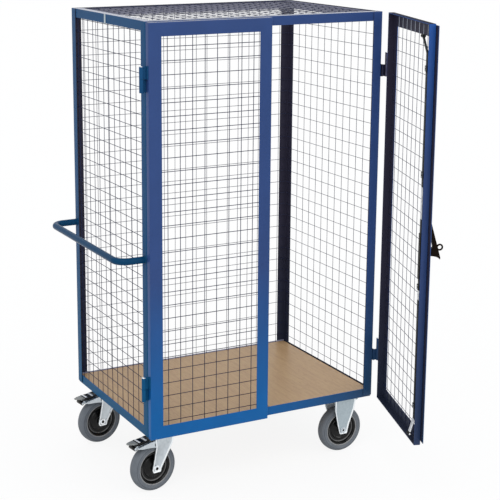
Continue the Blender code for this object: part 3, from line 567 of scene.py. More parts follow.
def banded_steel(name, bands):
    """Steel drawn near black as painted shade, with painted reflections in the bands, where it turns bright
    and metallic.
    """
    look = Look(name, 0.4, specular=0.15)
    metres = look.place()
    mottle = look.noise(metres, 95, 4, 0.6)
    up = look.part_of(metres, "Z")
    reflecting = 0
    for low, high in bands:
        inside = look.math("MULTIPLY", look.math("GREATER_THAN", up, low), look.math("LESS_THAN", up, high))
        reflecting = look.math("MAXIMUM", inside, reflecting)
    dark = look.ramp(mottle, (0.3, (0.003, 0.006, 0.008)), (0.7, (0.006, 0.011, 0.014)))
    bright = look.ramp(mottle, (0.3, (0.55, 0.57, 0.59)), (0.7, (0.8, 0.82, 0.84)))
    return look.finish(look.mix(reflecting, dark, bright), look.noise(metres, 600), 0.08, Metallic=reflecting)


def plastic(name, colour, light, roughness, specular, grain=700):
    """Moulded plastic with a fine spark-eroded grain."""
    look = Look(name, roughness, specular=specular)
    metres = look.place()
    tone = look.ramp(look.noise(metres, 60, 3), (0.3, colour), (0.75, light))
    return look.finish(tone, look.noise(metres, grain), 0.15)


def rubber(name, colour, worn):
    """Grey tyre: matt, slightly dusty, with a fine grain."""
    look = Look(name, 0.72, specular=0.3)
    metres = look.place()
    tone = look.ramp(look.noise(metres, 28, 4, 0.6), (0.35, colour), (0.75, worn))
    return look.finish(tone, look.noise(metres, 900), 0.2)


# Tones of the blue paint, with painted light: violet high up, cyan low down, and a painted shade low on the
# right
PAINT_HIGH = (0.0293, 0.0684, 0.2167)
PAINT_LOW = (0.0005, 0.1146, 0.367)
PAINT_SHADED_LOW_RIGHT = (0.016, 0.052, 0.12)
# The right door's tones: a darker copy of the frame's as painted shade, darkest low down, with a painted
# highlight at the top
DOOR_HIGH_PAINT = (0.0293, 0.062, 0.19)
DOOR_SHADED_LOW_PAINT = (0.022, 0.042, 0.105)
DOOR_LIT_TOP_PAINT = (0.02, 0.095, 0.37)

paint = powder_paint("frame_blue", 0.36, 0.2, PAINT_HIGH, PAINT_LOW, PAINT_SHADED_LOW_RIGHT)
door_shaded_paint = powder_paint("door_blue", 0.36, 0.2, DOOR_HIGH_PAINT, DOOR_SHADED_LOW_PAINT, top=DOOR_LIT_TOP_PAINT)
# Painted shade: a darker copy of the frame paint, with less sheen, for the push handle
handle_shade_paint = powder_paint("handle_blue_shade", 0.24, 0.06, (0.004, 0.052, 0.13))
gloss_paint = powder_paint("frame_blue_top", 0.16, HALF, PAINT_HIGH, PAINT_LOW)
# Painted shade: a darker teal copy of the frame paint, with less sheen, for faces that look left
side_shade_paint = powder_paint("frame_blue_side_shade", 0.4, 0.06, (0.012, 0.075, 0.19), (0.004, 0.085, 0.2))
# Painted light: a pale lilac copy of the frame paint for inner faces at the rear
lit_pale_paint = powder_paint("frame_blue_pale_lit", 0.45, 0.15, (0.32, 0.32, 0.43))
# Painted shade: a near-black copy of the paint for far tops and the open door's upper edge
shaded_edge_paint = powder_paint("door_blue_edge_shade", 0.6, 0.03, (0.004, 0.008, 0.03))
# Painted shade: a near-black copy of the frame paint for faces that look into the trolley
inner_shade_paint = powder_paint("frame_blue_inside_shade", 0.5, 0.15, (0.03, 0.028, 0.052), (0.02, 0.026, 0.05))
# Painted highlight: a pale, glossy copy of the wire paint for the roof wires
roof_sheen_paint = powder_paint("wire_blue_roof_sheen", 0.3, 0.4, (0.16, 0.165, 0.22))
# Painted shade: the wires' paint darkens towards the bottom
wire_paint = powder_paint("wire_blue", 0.36, 0.2, (0.026, 0.032, 0.078), (0.006, 0.009, 0.05))
# Painted shade: a darker copy of the wire paint for the left side's wires and the left door's
near_wire_shade_paint = powder_paint("near_wire_blue_shade", 0.36, 0.1, (0.016, 0.024, 0.07), (0.002, 0.006, 0.035))
wire_glint = powder_paint("wire_blue_glint", 0.2, HALF, (0.62, 0.68, 0.8))
beech = beech_board("beech_decor")
zinc = zinc_plate("zinc_bright", (0.62, 0.67, 0.71), (0.55, 0.60, 0.64))
# Painted highlight: a near-white copy of the zinc for ribs, near edges, hinge tops and the left axles
zinc_highlight = zinc_plate("zinc_highlight", (0.93, 0.96, 0.98), (0.86, 0.9, 0.93), 0.3)
zinc_cool = zinc_plate("zinc_cool", (0.43, 0.50, 0.54), (0.38, 0.45, 0.49))
# Painted light: a pale grey non-metal for the legs' sides that face the wheel, which lie in shade
zinc_lit = plastic("zinc_painted_light", (0.5, 0.53, 0.56), (0.62, 0.65, 0.68), 0.4, HALF, 600)
# Painted light: pale non-metal looks for the pedal's zinc ribs, a painted highlight, and for its zinc foot
# plate
pedal_rib_highlight = plastic("pedal_rib_highlight", (0.72, 0.74, 0.76), (0.85, 0.87, 0.88), 0.35, HALF, 600)
pedal_nose_lit = plastic("pedal_nose_lit", (0.2, 0.21, 0.21), (0.3, 0.31, 0.3), 0.35, HALF, 600)
hinge_zinc = zinc_plate("hinge_zinc", (0.11, 0.11, 0.16), (0.06, 0.06, 0.1), 0.4)
rod_steel = banded_steel("rod_steel", ROD_REFLECTIONS)
tyre_rubber = rubber("tyre_rubber", (0.142, 0.158, 0.18), (0.17, 0.185, 0.205))
# Painted shade: darker rubber in the tread's groove
tyre_groove_shade = rubber("tyre_groove_shade", (0.06, 0.068, 0.08), (0.075, 0.083, 0.095))
tyre_bead = rubber("tyre_bead", (0.27, 0.275, 0.28), (0.32, 0.325, 0.33))
rim_plastic = plastic("rim_plastic", (0.003, 0.003, 0.0034), (0.006, 0.006, 0.006), 0.26, 0.22)
# Painted highlight: lighter, glossier plastic for the rim's raised rings
rim_ring_highlight = plastic("rim_ring_highlight", (0.02, 0.02, 0.021), (0.04, 0.039, 0.037), 0.2, 1)
lock_plastic = plastic("lock_plastic", (0.003, 0.003, 0.003), (0.006, 0.006, 0.005), 0.4, 0.08, 800)
grip_plastic = plastic("grip_plastic", (0.006, 0.003, 0.0012), (0.012, 0.006, 0.003), 0.34, 0.06, 800)


# Chassis

def chassis_faces(centre, normal):
    """1 for faces that look towards the middle of the chassis, which take painted shade, 3 for those that
    look left, which take a darker copy of the paint as painted shade, else 0.
    """
    across = abs(normal.x) > abs(normal.y)
    towards = normal.x * math.copysign(1, centre.x) if across else normal.y * math.copysign(1, centre.y)
    if abs(normal.z) > HALF:
        return 0
    if towards < -HALF:
        return 1
    return 3 if normal.x < -HALF else 0


def rail_faces(centre, normal):
    """2 for glossy tops in front and on the left, 4 for far tops, which take painted shade, 5 for faces at
    the rear and the inward faces of the far top rails, which take a pale copy of the paint as painted light.
    """
    far = max(centre.x / RIGHT, centre.y / REAR) > FAR_SHARE
    if LEDGE_TOP < centre.z < TOP_RAIL_LOW and centre.y > REAR - POST_LEG and normal.y < HALF:
        return 5
    if normal.z > HALF:
        return 4 if far else 2
    face = chassis_faces(centre, normal)
    return 5 if face == 1 and far and centre.z > TOP_RAIL_LOW else face


def make_rails():
    """Angle rails with mitred flanges; a profile is (inwards, up)."""
    base = [
        (0, BASE_LOW), (STEEL, BASE_LOW), (STEEL, LEDGE_TOP - STEEL), (RAIL_DEPTH, LEDGE_TOP - STEEL),
        (RAIL_DEPTH, LEDGE_TOP), (STEEL, LEDGE_TOP), (STEEL, BASE_TOP), (0, BASE_TOP),
    ]
    head = [
        (0, TOP_RAIL_LOW), (STEEL, TOP_RAIL_LOW), (STEEL, TOP - STEEL),
        (RAIL_DEPTH, TOP - STEEL), (RAIL_DEPTH, TOP), (0, TOP),
    ]
    looks = [paint, inner_shade_paint, gloss_paint, side_shade_paint, shaded_edge_paint, lit_pale_paint]
    for level, profile in (("base", base), ("top", head)):
        for side, sign in (("front", -1), ("rear", 1), ("left", -1), ("right", 1)):
            if side in ("left", "right"):
                axis = "Y"
                outer = RIGHT - RAIL_INSET
                ends = [REAR - LEG_INNER - GAP - max(0, u - STEEL) for u, z in profile]
            else:
                axis = "X"
                outer = REAR - RAIL_INSET
                ends = [RIGHT - RAIL_INSET - u for u, z in profile]
            outline = [(sign * (outer - u), z) for u, z in profile]
            rail = soften(prism(outline, axis, [-end for end in ends], ends))
            stand_in(f"{level}_rail_{side}", rail, "chassis", "frame_paint", looks, rule=rail_faces)


def make_rail_clip():
    """The small bright plate over the outer face of the left top rail."""
    face = LEFT + RAIL_INSET
    plate = box(
        (face - 1.6 * MM, face + 0.4 * MM), (10 * MM, 24 * MM), (TOP_RAIL_LOW - 1 * MM, TOP - 0.4 * MM),
    )
    fit("rail_clip", soften(plate, ROUND_FINE), "chassis", "zinc", zinc_cool)


def make_posts():
    bend = (RIGHT - POST_RADIUS, REAR - POST_RADIUS)
    outline = [
        (RIGHT - STEEL, REAR - POST_LEG),
        (RIGHT, REAR - POST_LEG),
        *arc(bend, POST_RADIUS, 7, 0, QUARTER_TURN),
        (RIGHT - POST_LEG, REAR),
        (RIGHT - POST_LEG, REAR - STEEL),
        *arc(bend, POST_RADIUS - STEEL, 5, QUARTER_TURN, -QUARTER_TURN),
    ]
    looks = [paint, inner_shade_paint, gloss_paint, side_shade_paint]
    for row, y_sign in (("front", -1), ("rear", 1)):
        for side, x_sign in (("left", -1), ("right", 1)):
            post = soften(prism([(x * x_sign, y * y_sign) for x, y in outline], "Z", POST_LOW, TOP))
            stand_in(f"post_{row}_{side}", post, "chassis", "frame_paint", looks, rule=chassis_faces)


def make_deck():
    """The board, with a notch that lets the lock's lower rod pass."""
    low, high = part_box("deck_board")
    notch = (DOOR_FREE, DOOR_FREE + NOTCH_WIDTH)
    notch_end = DOOR_BACK + NOTCH_REACH
    outline = [
        (low.x, low.y), (notch[0], low.y), (notch[0], notch_end), (notch[1], notch_end),
        (notch[1], low.y), (high.x, low.y), (high.x, high.y), (low.x, high.y),
    ]
    board = soften(prism(outline, "Z", low.z, high.z), ROUND_FINE)
    stand_in("deck_board", board, "chassis", "beech", beech)


def pitches(count):
    """Places of the upright wires of a panel, counted from its middle to each side."""
    return [WIRE_PITCH * index for index in range(-count, count + 1)]


def rows_between(low, high):
    """Heights of the level wires between two limits."""
    rows = []
    height = WIRE_FIRST_ROW
    while height < high:
        if height > low:
            rows.append(height)
        height += WIRE_PITCH
    return rows


def make_wall_mesh():
    """The rear and side panels: uprights outside, level wires inside."""
    ends = (LEDGE_TOP + GAP, TOP - MESH_MARGIN)
    rows = rows_between(ends[0], TOP_RAIL_LOW + ROW_MARGIN)
    width = (REAR_MARGIN - RIGHT, RIGHT - REAR_MARGIN)
    depth = (FRONT + LEG_INNER + GAP, REAR - SIDE_MARGIN)
    for side, face, sign, reach, count, radius, look in (
        ("rear", REAR, 1, width, COLUMNS_LONG, WIRE, wire_paint),
        ("left", RIGHT, -1, depth, COLUMNS_DEEP, LEFT_WIRE, near_wire_shade_paint),
        ("right", RIGHT, 1, depth, COLUMNS_DEEP, WIRE, wire_paint),
    ):
        outer = sign * (face - LEG_INNER - GAP - radius)
        inner = outer - sign * (2 * radius - WIRE_WELD)
        rear = side == "rear"
        lines = lines_along("Z", ends, [(u, outer) if rear else (outer, u) for u in pitches(count)])
        lines += lines_along("X" if rear else "Y", reach, [(inner, z) for z in rows])
        panel = wires(lines, radius)
        fit(f"mesh_{side}_wires", panel, "chassis", "frame_paint", look, "mesh_" + side)


def make_roof_mesh():
    """The roof panel, in a pale copy of the wire paint as a painted highlight, with a dark spot at each
    weld.
    """
    upper = TOP - STEEL - GAP - ROOF_WIRE
    lower = upper - 2 * ROOF_WIRE + WIRE_WELD
    across = RIGHT - MESH_MARGIN
    back = REAR - MESH_MARGIN
    lines = lines_along("Y", (-back, back), [(x, upper) for x in pitches(COLUMNS_LONG)])
    lines += lines_along("X", (-across, across), [(y, lower) for y in pitches(COLUMNS_DEEP)])
    fit("mesh_roof_wires", wires(lines, ROOF_WIRE), "chassis", "frame_paint", roof_sheen_paint, "mesh_roof")
    rows = [(y, (upper + lower) / 2) for y in pitches(COLUMNS_DEEP)]
    lines = []
    for x in pitches(COLUMNS_LONG):
        lines += lines_along("X", (x - SPOT_REACH, x + SPOT_REACH), rows)
    fit("mesh_roof_welds", wires(lines, SPOT_RADIUS), "chassis", "frame_paint", wire_paint)


def make_push_handle():
    """A bent tube with a weld bead at each end."""
    radius = 13 * MM
    bend = 45 * MM
    height = 658 * MM
    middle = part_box("push_handle")[0].x + radius + bend
    ends = REAR - 17.5 * MM
    root = LEFT - GAP
    half = [(root, -ends), *arc((middle, bend - ends), bend, 17, -QUARTER_TURN, -QUARTER_TURN)]
    outline = half + [(x, -y) for x, y in reversed(half)]
    tube = sweep([Vector((x, y, height)) for x, y in outline], radius, 32)
    bead = [(radius + out, along) for out, along in mm((-1, 0), (3.5, 0), (2.5, -2), (0, -4), (-1, -4))]
    beads = [lathe(bead, (root, side, height), "X") for side in (-ends, ends)]
    handle = smooth(merge([tube, *beads]))
    stand_in("push_handle", handle, "chassis", "frame_paint", handle_shade_paint)


# Hinges

def dome(centre, radius, low, high, axis="Z", sides=32, round_low=1 * MM, round_high=1 * MM):
    """A pin or barrel with rounded ends."""
    profile = [
        (radius - round_low, low),
        (radius - round_low * DOME_SHARE, low + round_low * DOME_SHARE),
        (radius, low + round_low),
        (radius, high - round_high),
        (radius - round_high * DOME_SHARE, high - round_high * DOME_SHARE),
        (radius - round_high, high),
    ]
    base = list(centre)
    base[AXES[axis][2]] = 0
    return turned(profile, base, axis, sides)


def leaf_and_arm(leaf_x, leaf_y, arm_x, arm_y, low, high):
    """A hinge's leaf, and the arm that ties it to the barrel."""
    return [soften(box(leaf_x, leaf_y, (low, high))), soften(box(arm_x, arm_y, (low + MM, high - MM)))]


def post_half(middle):
    """Barrel, pin, leaf and arm of the half on the post."""
    low = middle - HINGE_HALF
    leaf_x = RIGHT + GAP
    arm_y = FRONT - ARM_OUT
    return [
        dome(HINGE, HINGE_RADIUS, low, middle),
        dome(HINGE, PIN_RADIUS, middle - STEEL, middle + PIN_RISE, round_high=ROUND_CASE),
        *leaf_and_arm(
            (leaf_x, leaf_x + STEEL), (arm_y, FRONT + POST_LEAF),
            (leaf_x + MM, HINGE.x), (arm_y, arm_y + ARM_THICK), low, middle,
        ),
    ]


def door_half(middle):
    """Bored sleeve, leaf and arm of the half on the door."""
    start = middle + GAP
    high = middle + HINGE_HALF
    bore_top = middle + PIN_RISE + 2 * MM
    bore = [(radius * MM, z) for radius, z in (
        (5, start), (7, start), (8, start + MM), (8, high - 2 * MM), (7.2, high - 0.8 * MM),
        (5.5, high), (0.1, high), (0.1, bore_top), (5, bore_top),
    )]
    leaf_x = DOOR_HINGE + GAP
    leaf_back = DOOR_BACK - ARM_THICK
    return [
        lathe(bore, (HINGE.x, HINGE.y, 0), "Z"),
        *leaf_and_arm(
            (leaf_x, leaf_x + STEEL), (leaf_back - DOOR_LEAF, leaf_back),
            (leaf_x + MM, HINGE.x - ARM_SHORT), (HINGE.y - ARM_THICK, HINGE.y), start, high,
        ),
    ]


def hinge_end(centre, normal):
    """True for the upper end of a hinge barrel, which takes the bright zinc as a painted highlight."""
    return normal.z > HALF and math.hypot(centre.x - HINGE.x, centre.y - HINGE.y) < HINGE_RADIUS + MM


def make_hinges():
    """The hinges of the right door, and their mirror images on the left."""
    # Painted shade: the left hinges take the darker copy of the paint made for faces that look left
    hinge_looks = {"right_upper": hinge_zinc, "right_lower": paint}
    for height, middle in (("upper", DOOR_HIGH - HINGE_FROM_END), ("lower", DOOR_LOW + HINGE_FROM_END)):
        for side, post_turn, door_turn in (("right", STAY, SWING), ("left", MIRROR, MIRROR)):
            tag = f"{side}_{height}"
            look = hinge_looks.get(tag, side_shade_paint)
            stand_in("hinge_post_" + tag, post_half(middle), "chassis", "zinc", look, turn=post_turn)
            stand_in(
                "hinge_door_" + tag, door_half(middle), "door_" + side, "zinc", [look, zinc_highlight],
                rule=hinge_end, turn=door_turn,
            )


# Doors

def door_frame():
    """A mitred frame of folded angle: a wide face in front and a narrow leg round the edge."""
    section = arc((DOOR_FOLD, DOOR_FOLD), DOOR_FOLD, 5, -QUARTER_TURN, -QUARTER_TURN)
    section += [(0, DOOR_DEPTH), (STEEL, DOOR_DEPTH), (STEEL, STEEL), (DOOR_FACE, STEEL), (DOOR_FACE, 0)]
    corners = (
        (DOOR_FREE, DOOR_LOW, 1, 1), (DOOR_HINGE, DOOR_LOW, -1, 1),
        (DOOR_HINGE, DOOR_HIGH, -1, -1), (DOOR_FREE, DOOR_HIGH, 1, -1),
    )
    return loops([
        [(x + x_sign * u, DOOR_FRONT + depth, z + z_sign * u) for u, depth in section]
        for x, z, x_sign, z_sign in corners
    ], closed=True)


def door_faces(centre, normal):
    """1 for the back of the door's face and the inner side of its leg, which take painted shade, 2 for its
    upper edge, which is glossy on the left door and takes painted shade on the right, else 0.
    """
    if normal.z > EDGE_SHARE and centre.z > DOOR_HIGH - STEEL:
        return 2
    if normal.y > HALF and centre.y < DOOR_FRONT + 2 * STEEL:
        return 1
    if centre.y < DOOR_FRONT + STEEL - ROUND_SHEET / 2:
        return 0
    inwards = normal.x * (abs(centre.x) - (DOOR_FREE + DOOR_HINGE) / 2) * math.copysign(1, centre.x) < 0
    level = normal.z * (centre.z - (DOOR_LOW + DOOR_HIGH) / 2) < 0
    return (abs(normal.x) > HALF and inwards) or (abs(normal.z) > HALF and level)


def door_wires(radius):
    """Uprights in front of the level wires; the uprights run up over the back of the head rail."""
    front = LOCK_INNER + radius
    back = front + 2 * radius - WIRE_WELD
    edge = DOOR_HIGH - DOOR_FACE
    columns = [(FIRST_COLUMN + WIRE_PITCH * index, front) for index in range(COLUMNS_DOOR)]
    rows = [(back, z) for z in rows_between(DOOR_LOW + DOOR_FACE, edge)]
    lines = lines_along("Z", (DOOR_LOW + MESH_MARGIN, edge), columns)
    lines += lines_along("Z", (edge, DOOR_HIGH - ROW_MARGIN), columns)
    lines += lines_along("X", (DOOR_FREE + DOOR_FACE - DOOR_LAP, DOOR_HINGE - DOOR_MARGIN), rows)
    return wires(lines, radius)


def wire_ends(centre, normal):
    """True for the door wires' upper ends, welded over the head rail."""
    return centre.z > DOOR_HIGH - DOOR_FACE


# The overlap strip's back face takes the dark copy of the paint as painted shade
def strip_back(centre, normal):
    return normal.y > HALF


def make_doors():
    """Both doors are built shut; the right one then swings to the photo's pose."""
    for side, mirror, swing, looks, radius, wire_look in (
        ("left", MIRROR, STAY, [paint, inner_shade_paint, gloss_paint], DOOR_WIRE, near_wire_shade_paint),
        ("right", STAY, SWING, [door_shaded_paint, inner_shade_paint, shaded_edge_paint], WIRE, wire_paint),
    ):
        body = "door_" + side
        door = soften(flip(door_frame(), mirror), ROUND_FOLD)
        stand_in("door_frame_" + side, door, body, "frame_paint", looks, rule=door_faces, turn=swing)
        mesh = flip(door_wires(radius), mirror)
        fit(
            f"door_mesh_{side}_wires", mesh, body, "frame_paint", [wire_look, wire_glint],
            "door_mesh_" + side, rule=wire_ends, turn=swing,
        )
    strip_x = (DOOR_FREE - STRIP_OVER, DOOR_FREE + STRIP_BEHIND)
    strip = soften(box(strip_x, (LOCK_OUTER - STEEL, LOCK_OUTER), (STRIP_LOW, STRIP_HIGH)))
    looks = [paint, inner_shade_paint]
    stand_in("overlap_strip", strip, "door_right", "frame_paint", looks, rule=strip_back, turn=SWING)


# Lock

def fit_lock(name, parts, *nodes, slot="lock_black", look=lock_plastic, body="door_right"):
    """A piece of the lock, built on the shut door and swung with it."""
    fit(name, parts, body, slot, look, *nodes, turn=SWING)


def hoop(outer, inner, low, high):
    """A rectangular clip round a rod: outer and inner are (x0, x1, y0, y1)."""
    rings = [[(x0, y0), (x1, y0), (x1, y1), (x0, y1)] for x0, x1, y0, y1 in (outer, inner)]
    points = [(x, y, z) for z in (low, high) for ring in rings for x, y in ring]
    faces = []
    for index in range(4):
        after = (index + 1) % 4
        for a, b in ((0, 4), (8, 12), (0, 8), (4, 12)):
            faces.append([a + index, a + after, b + after, b + index])
    return form(points, faces)


def make_rod(tag, inner_end, roller_z):
    """A flat bar, cranked at its end, with a roller on a pin."""
    sign = math.copysign(1, roller_z - inner_end)
    crank_start = roller_z - sign * ROD_CRANK
    front = ROD_BACK - ROD_THICK
    tip = roller_z + sign * ROLLER / 2
    outline = [
        (front, inner_end), (ROD_BACK, inner_end), (ROD_BACK, crank_start),
        (ROD_BACK + ROD_REACH, roller_z), (ROD_BACK + ROD_REACH, tip),
        (front + ROD_REACH, tip), (front + ROD_REACH, roller_z), (front, crank_start),
    ]
    bar = soften(prism(outline, "X", ROD_LEFT, ROD_LEFT + ROD_WIDTH))
    centre = (ROD_LEFT + ROD_WIDTH / 2, front + ROD_REACH + ROD_THICK / 2, roller_z)
    pin = turned(mm((3, -12), (3.5, -11.6), (3.5, 11.6), (3, 12)), centre, "X")
    crown = ROLLER / MM
    profile = mm((3.7, -11.5), (5.6, -11.5), (crown, -10.5), (crown, 10.5), (5.6, 11.5), (3.7, 11.5))
    name = "lock_rod_" + tag
    body = "rod_" + tag
    fit_lock(name + "_form_roller", lathe(profile, centre, "X"), body=body)
    fit_lock(name + "_form", [bar, pin], name, slot="zinc", look=rod_steel, body=body)


def make_case():
    """The gear case: a wide low box, and a narrow bridge that carries the rods."""
    wide = box((LOCK_LEFT, LOCK_LEFT + CASE_WIDTH), (LOCK_INNER, CASE_BACK), CASE_Z)
    bridge = box((LOCK_LEFT, LOCK_LEFT + GUIDE_WIDTH), (LOCK_INNER, BRIDGE_BACK), CASE_Z)
    fit_lock("lock_case_form", [soften(wide, ROUND_CASE), soften(bridge, ROUND_THICK)], "lock_case")
    head = mm((3.6, -1), (3.6, 0.8), (2.8, 1.7), (1, 2.1))
    ends = (CASE_Z[0] + SCREW_FROM_END, CASE_Z[1] - SCREW_FROM_END)
    screws = [turned(head, (SCREW_X, CASE_BACK, z), "Y") for z in ends]
    fit_lock("lock_case_screws", screws, slot="zinc", look=zinc)


def make_escutcheon():
    plate = box(
        (SPINDLE_X - COVER_HALF, SPINDLE_X + COVER_HALF), (LOCK_OUTER - COVER_DEPTH, LOCK_OUTER),
        (LOCK_Z - COVER_REACH, LOCK_Z + COVER_REACH),
    )
    fit_lock("lock_escutcheon_form", soften(plate, ROUND_COVER), "lock_escutcheon")


def make_guides():
    """Four clips for the rods, each with two bright rivets at the back."""
    slot = (
        ROD_LEFT - GUIDE_PLAY, ROD_LEFT + ROD_WIDTH + GUIDE_PLAY,
        ROD_BACK - ROD_THICK - GUIDE_PLAY, ROD_BACK + GUIDE_PLAY,
    )
    outer = (LOCK_LEFT, LOCK_LEFT + GUIDE_WIDTH, LOCK_INNER, GUIDE_BACK)
    head = mm((2.6, -0.5), (2.6, 0.4), (1.6, 0.9))
    rivets = []
    for name, middle, nodes in (
        ("rod_guide_upper_form", 1364 * MM, ["rod_guide_upper"]),
        ("rod_guide_upper_middle", 985 * MM, []),
        ("rod_guide_lower_middle", 573 * MM, []),
        ("rod_guide_lower_form", 118 * MM, ["rod_guide_lower"]),
    ):
        clip = hoop(outer, slot, middle - GUIDE_HALF, middle + GUIDE_HALF)
        fit_lock(name, soften(clip, ROUND_FINE), *nodes)
        for z in (middle - GUIDE_HALF / 2, middle + GUIDE_HALF / 2):
            rivets.append(turned(head, (LOCK_LEFT + GUIDE_WIDTH / 2, GUIDE_BACK, z), "Y", 16))
    fit_lock("rod_guide_rivets", rivets, slot="zinc", look=zinc)


def make_grip():
    """The winged handle on a ridged boss, with an eye for a padlock."""
    seat = LOCK_OUTER - COVER_DEPTH - GAP
    centre = (SPINDLE_X, seat, LOCK_Z)
    outline = [
        (10, -12), (30, -15), (40, -17.5), (48, -21), (55, -28), (56, -21),
        (14, 125), (5, 125), (14, 85), (22, 45), (27, 18), (10, 12),
    ]
    points = [(DOOR_FRONT - out * MM, LOCK_Z + up * MM) for out, up in outline]
    grip = soften(prism(points, "X", SPINDLE_X - GRIP_HALF, SPINDLE_X + GRIP_HALF), ROUND_CAST)
    ridges = [(5, -15)]
    for index in range(5):
        along = -14.5 + index * 2.9
        ridges += [(9.4, along), (11, along + 0.5), (11, along + 1.5), (9.4, along + 2)]
    boss = turned(mm(*ridges, (9.4, 0)), centre, "Y", 48, BOSS_CREASE)
    end = (DOOR_BACK - 9 * MM - seat) / MM
    shaft = turned(mm((4, -4), (4, end - 0.6), (3.4, end)), centre, "Y")
    eye_centre = (SPINDLE_X, DOOR_FRONT - EYE_OUT, LOCK_Z + EYE_UP)
    eye = lathe(circle((EYE_RADIUS, 0), EYE_BAR, 12), eye_centre, "X", 48, WIRE_CREASE)
    parts = [grip, boss, shaft, eye]
    fit_lock(
        "lock_handle_form", parts, "lock_handle", slot="handle_brown", look=grip_plastic, body="lock_grip",
    )


# Castors

def both_sides(half):
    """A wheel's profile from its half: (radius, half width) pairs."""
    return [(radius, -wide) for radius, wide in half] + half[::-1]


def ring_looks(centre, *rings):
    """A rule that gives faces the look of the ring they lie in: (inner, outer, look) in millimetres."""
    def rule(point, normal):
        reach = math.hypot(point.x - centre[0], point.z - centre[2]) / MM
        return next((look for inner, outer, look in rings if inner < reach < outer), 0)

    return rule


def make_tyre(tag, centre, turn):
    """A soft grey tyre: a light bead round the rim, a fine groove darkened as painted shade, and a rounded
    tread.
    """
    inner = RIM + GAP
    bead = mm((0, 18), (0.8, 20), (2.2, 20.8), (4, 20.4), (4.6, 19.8), (5.6, 20.9), (9, 22.2), (13, 22.5))
    tread = mm(
        (83, 22.3), (83.4, 21.7), (84.2, 21.9), (87.5, 20.6), (90.4, 18), (90.6, 17.3), (91.4, 16.9),
        (93.2, 14), (94.3, 10.5), (94, 10), (94.4, 9.4), (95, 5.5), (95, 1.5),
    )
    profile = both_sides([(inner + out, wide) for out, wide in bead] + tread)
    tyre = lathe(profile, centre, "Y", WHEEL_SIDES, TYRE_CREASE)
    rule = ring_looks(centre, (0, inner / MM + 4.8, 1), (82.9, 84, 2))
    looks = [tyre_rubber, tyre_bead, tyre_groove_shade]
    stand_in("tyre_" + tag, tyre, "wheel_" + tag, "tyre_grey", looks, rule=rule, turn=turn)


def make_rim(tag, centre, turn):
    """A deep dished black rim whose raised rings are lighter and glossier as a painted highlight, and a
    stepped hub.
    """
    dish = mm(
        (6.3, 25), (13, 25), (15.5, 23.5), (18, 13), (22, 10), (38, 8), (40, 10), (43.5, 10), (45.5, 8),
        (53, 8.3), (56, 10.5), (57.5, 10.8), (61, 17), (63, 18.8), (RIM / MM, 18.6),
    )
    rim = lathe(both_sides(dish), centre, "Y", WHEEL_SIDES, RIM_CREASE)
    rule = ring_looks(centre, (38.5, 40, 1), (53, 56.5, 1))
    looks = [rim_plastic, rim_ring_highlight]
    stand_in("rim_" + tag, rim, "wheel_" + tag, "rim_black", looks, rule=rule, turn=turn)


def make_axle(tag, body, centre, turn):
    """The axle bolt with a washer, a hexagon and a domed end outside each cheek."""
    wall = FORK_OUTER + GAP
    left = tag.endswith("left")
    opening = LEFT_OPENING if left else RIGHT_OPENING
    parts = [dome(centre, AXLE_RADIUS, centre[1] - wall, centre[1] + wall, "Y", 24)]
    socket_shades = []
    for side in (-1, 1):
        spot = (centre[0], centre[1] + side * wall, centre[2])
        head = turned(mm((9.4, side * 1.2), (9.4, side * 3.4)), spot, "Y", HEXAGON)
        parts += [turned(mm((12.5, 0), (12.5, side * 1.2)), spot, "Y", 32), soften(head, ROUND_FINE)]
        # Painted shade: a thin black disc on each hexagon's end stands for its socket
        socket_shades.append(turned([(opening, side * 3.2 * MM), (opening, side * 3.6 * MM)], spot, "Y"))
    # Painted highlight: the left castors' axles take the bright zinc
    stand_in("axle_" + tag, parts, body, "zinc", zinc_highlight if left else zinc, turn=turn)
    fit("axle_socket_shade_" + tag, socket_shades, body, "rim_black", rim_plastic, turn=turn)


def make_wheel(tag, axle_body, centre, turn):
    make_tyre(tag, centre, turn)
    make_rim(tag, centre, turn)
    make_axle(tag, axle_body, centre, turn)


def inset(outline, distance):
    """An outline moved inwards by a distance."""
    corners = [Vector(point) for point in outline]
    following = corners[1:] + corners[:1]
    area = sum(here.x * after.y - after.x * here.y for here, after in zip(corners, following))
    sign = math.copysign(1, area)
    moved = []
    for index, (here, after) in enumerate(zip(corners, following)):
        first = (here - corners[index - 1]).normalized()
        second = (after - here).normalized()
        first_in = Vector((-first.y, first.x)) * sign
        direction = (first_in + Vector((-second.y, second.x)) * sign).normalized()
        moved.append(tuple(here + direction * distance / max(HALF, direction.dot(first_in))))
    return moved


def from_foot(outline, foot):
    """A side view in millimetres from the axle, as points in metres."""
    return [(foot[0] + ahead, foot[1] + up) for ahead, up in mm(*outline)]


def pressed_leg(outline, foot, y, side, rib):
    """A fork leg pressed from sheet: a plate whose edges stand out in a rib."""
    points = from_foot(outline, foot)
    base = y + side * FORK_INNER
    wall = base + side * FORK_WALL
    crest = wall + side * rib
    rings = (
        (points, base),
        (points, crest - side * RIB_EDGE),
        (inset(points, RIB_EDGE), crest),
        (inset(points, RIB_TOP), crest),
        (inset(points, RIB_FOOT), wall),
    )
    leg = loops([[(x, level, z) for x, z in ring] for ring, level in rings])

    def leg_part(point, normal):
        """2 for the side towards the wheel, which takes a pale grey as painted light, 1 for the rib, which
        takes the bright zinc as a painted highlight, 0 for the wall.
        """
        return 2 if normal.y * side < -HALF else (point.y - wall) * side > GAP

    return split_looks(leg, leg_part)


def lean(obj, start, height, shift):
    """Bends a leg at one level, so that its top stands off by the shift."""
    shape = bmesh.new()
    shape.from_mesh(obj.data)
    everything = shape.verts[:] + shape.edges[:] + shape.faces[:]
    bmesh.ops.bisect_plane(shape, geom=everything, plane_co=(0, 0, start), plane_no=UP)
    for corner in shape.verts:
        corner.co.y += shift * max(0, corner.co.z - start) / height
    shape.to_mesh(obj.data)
    shape.free()


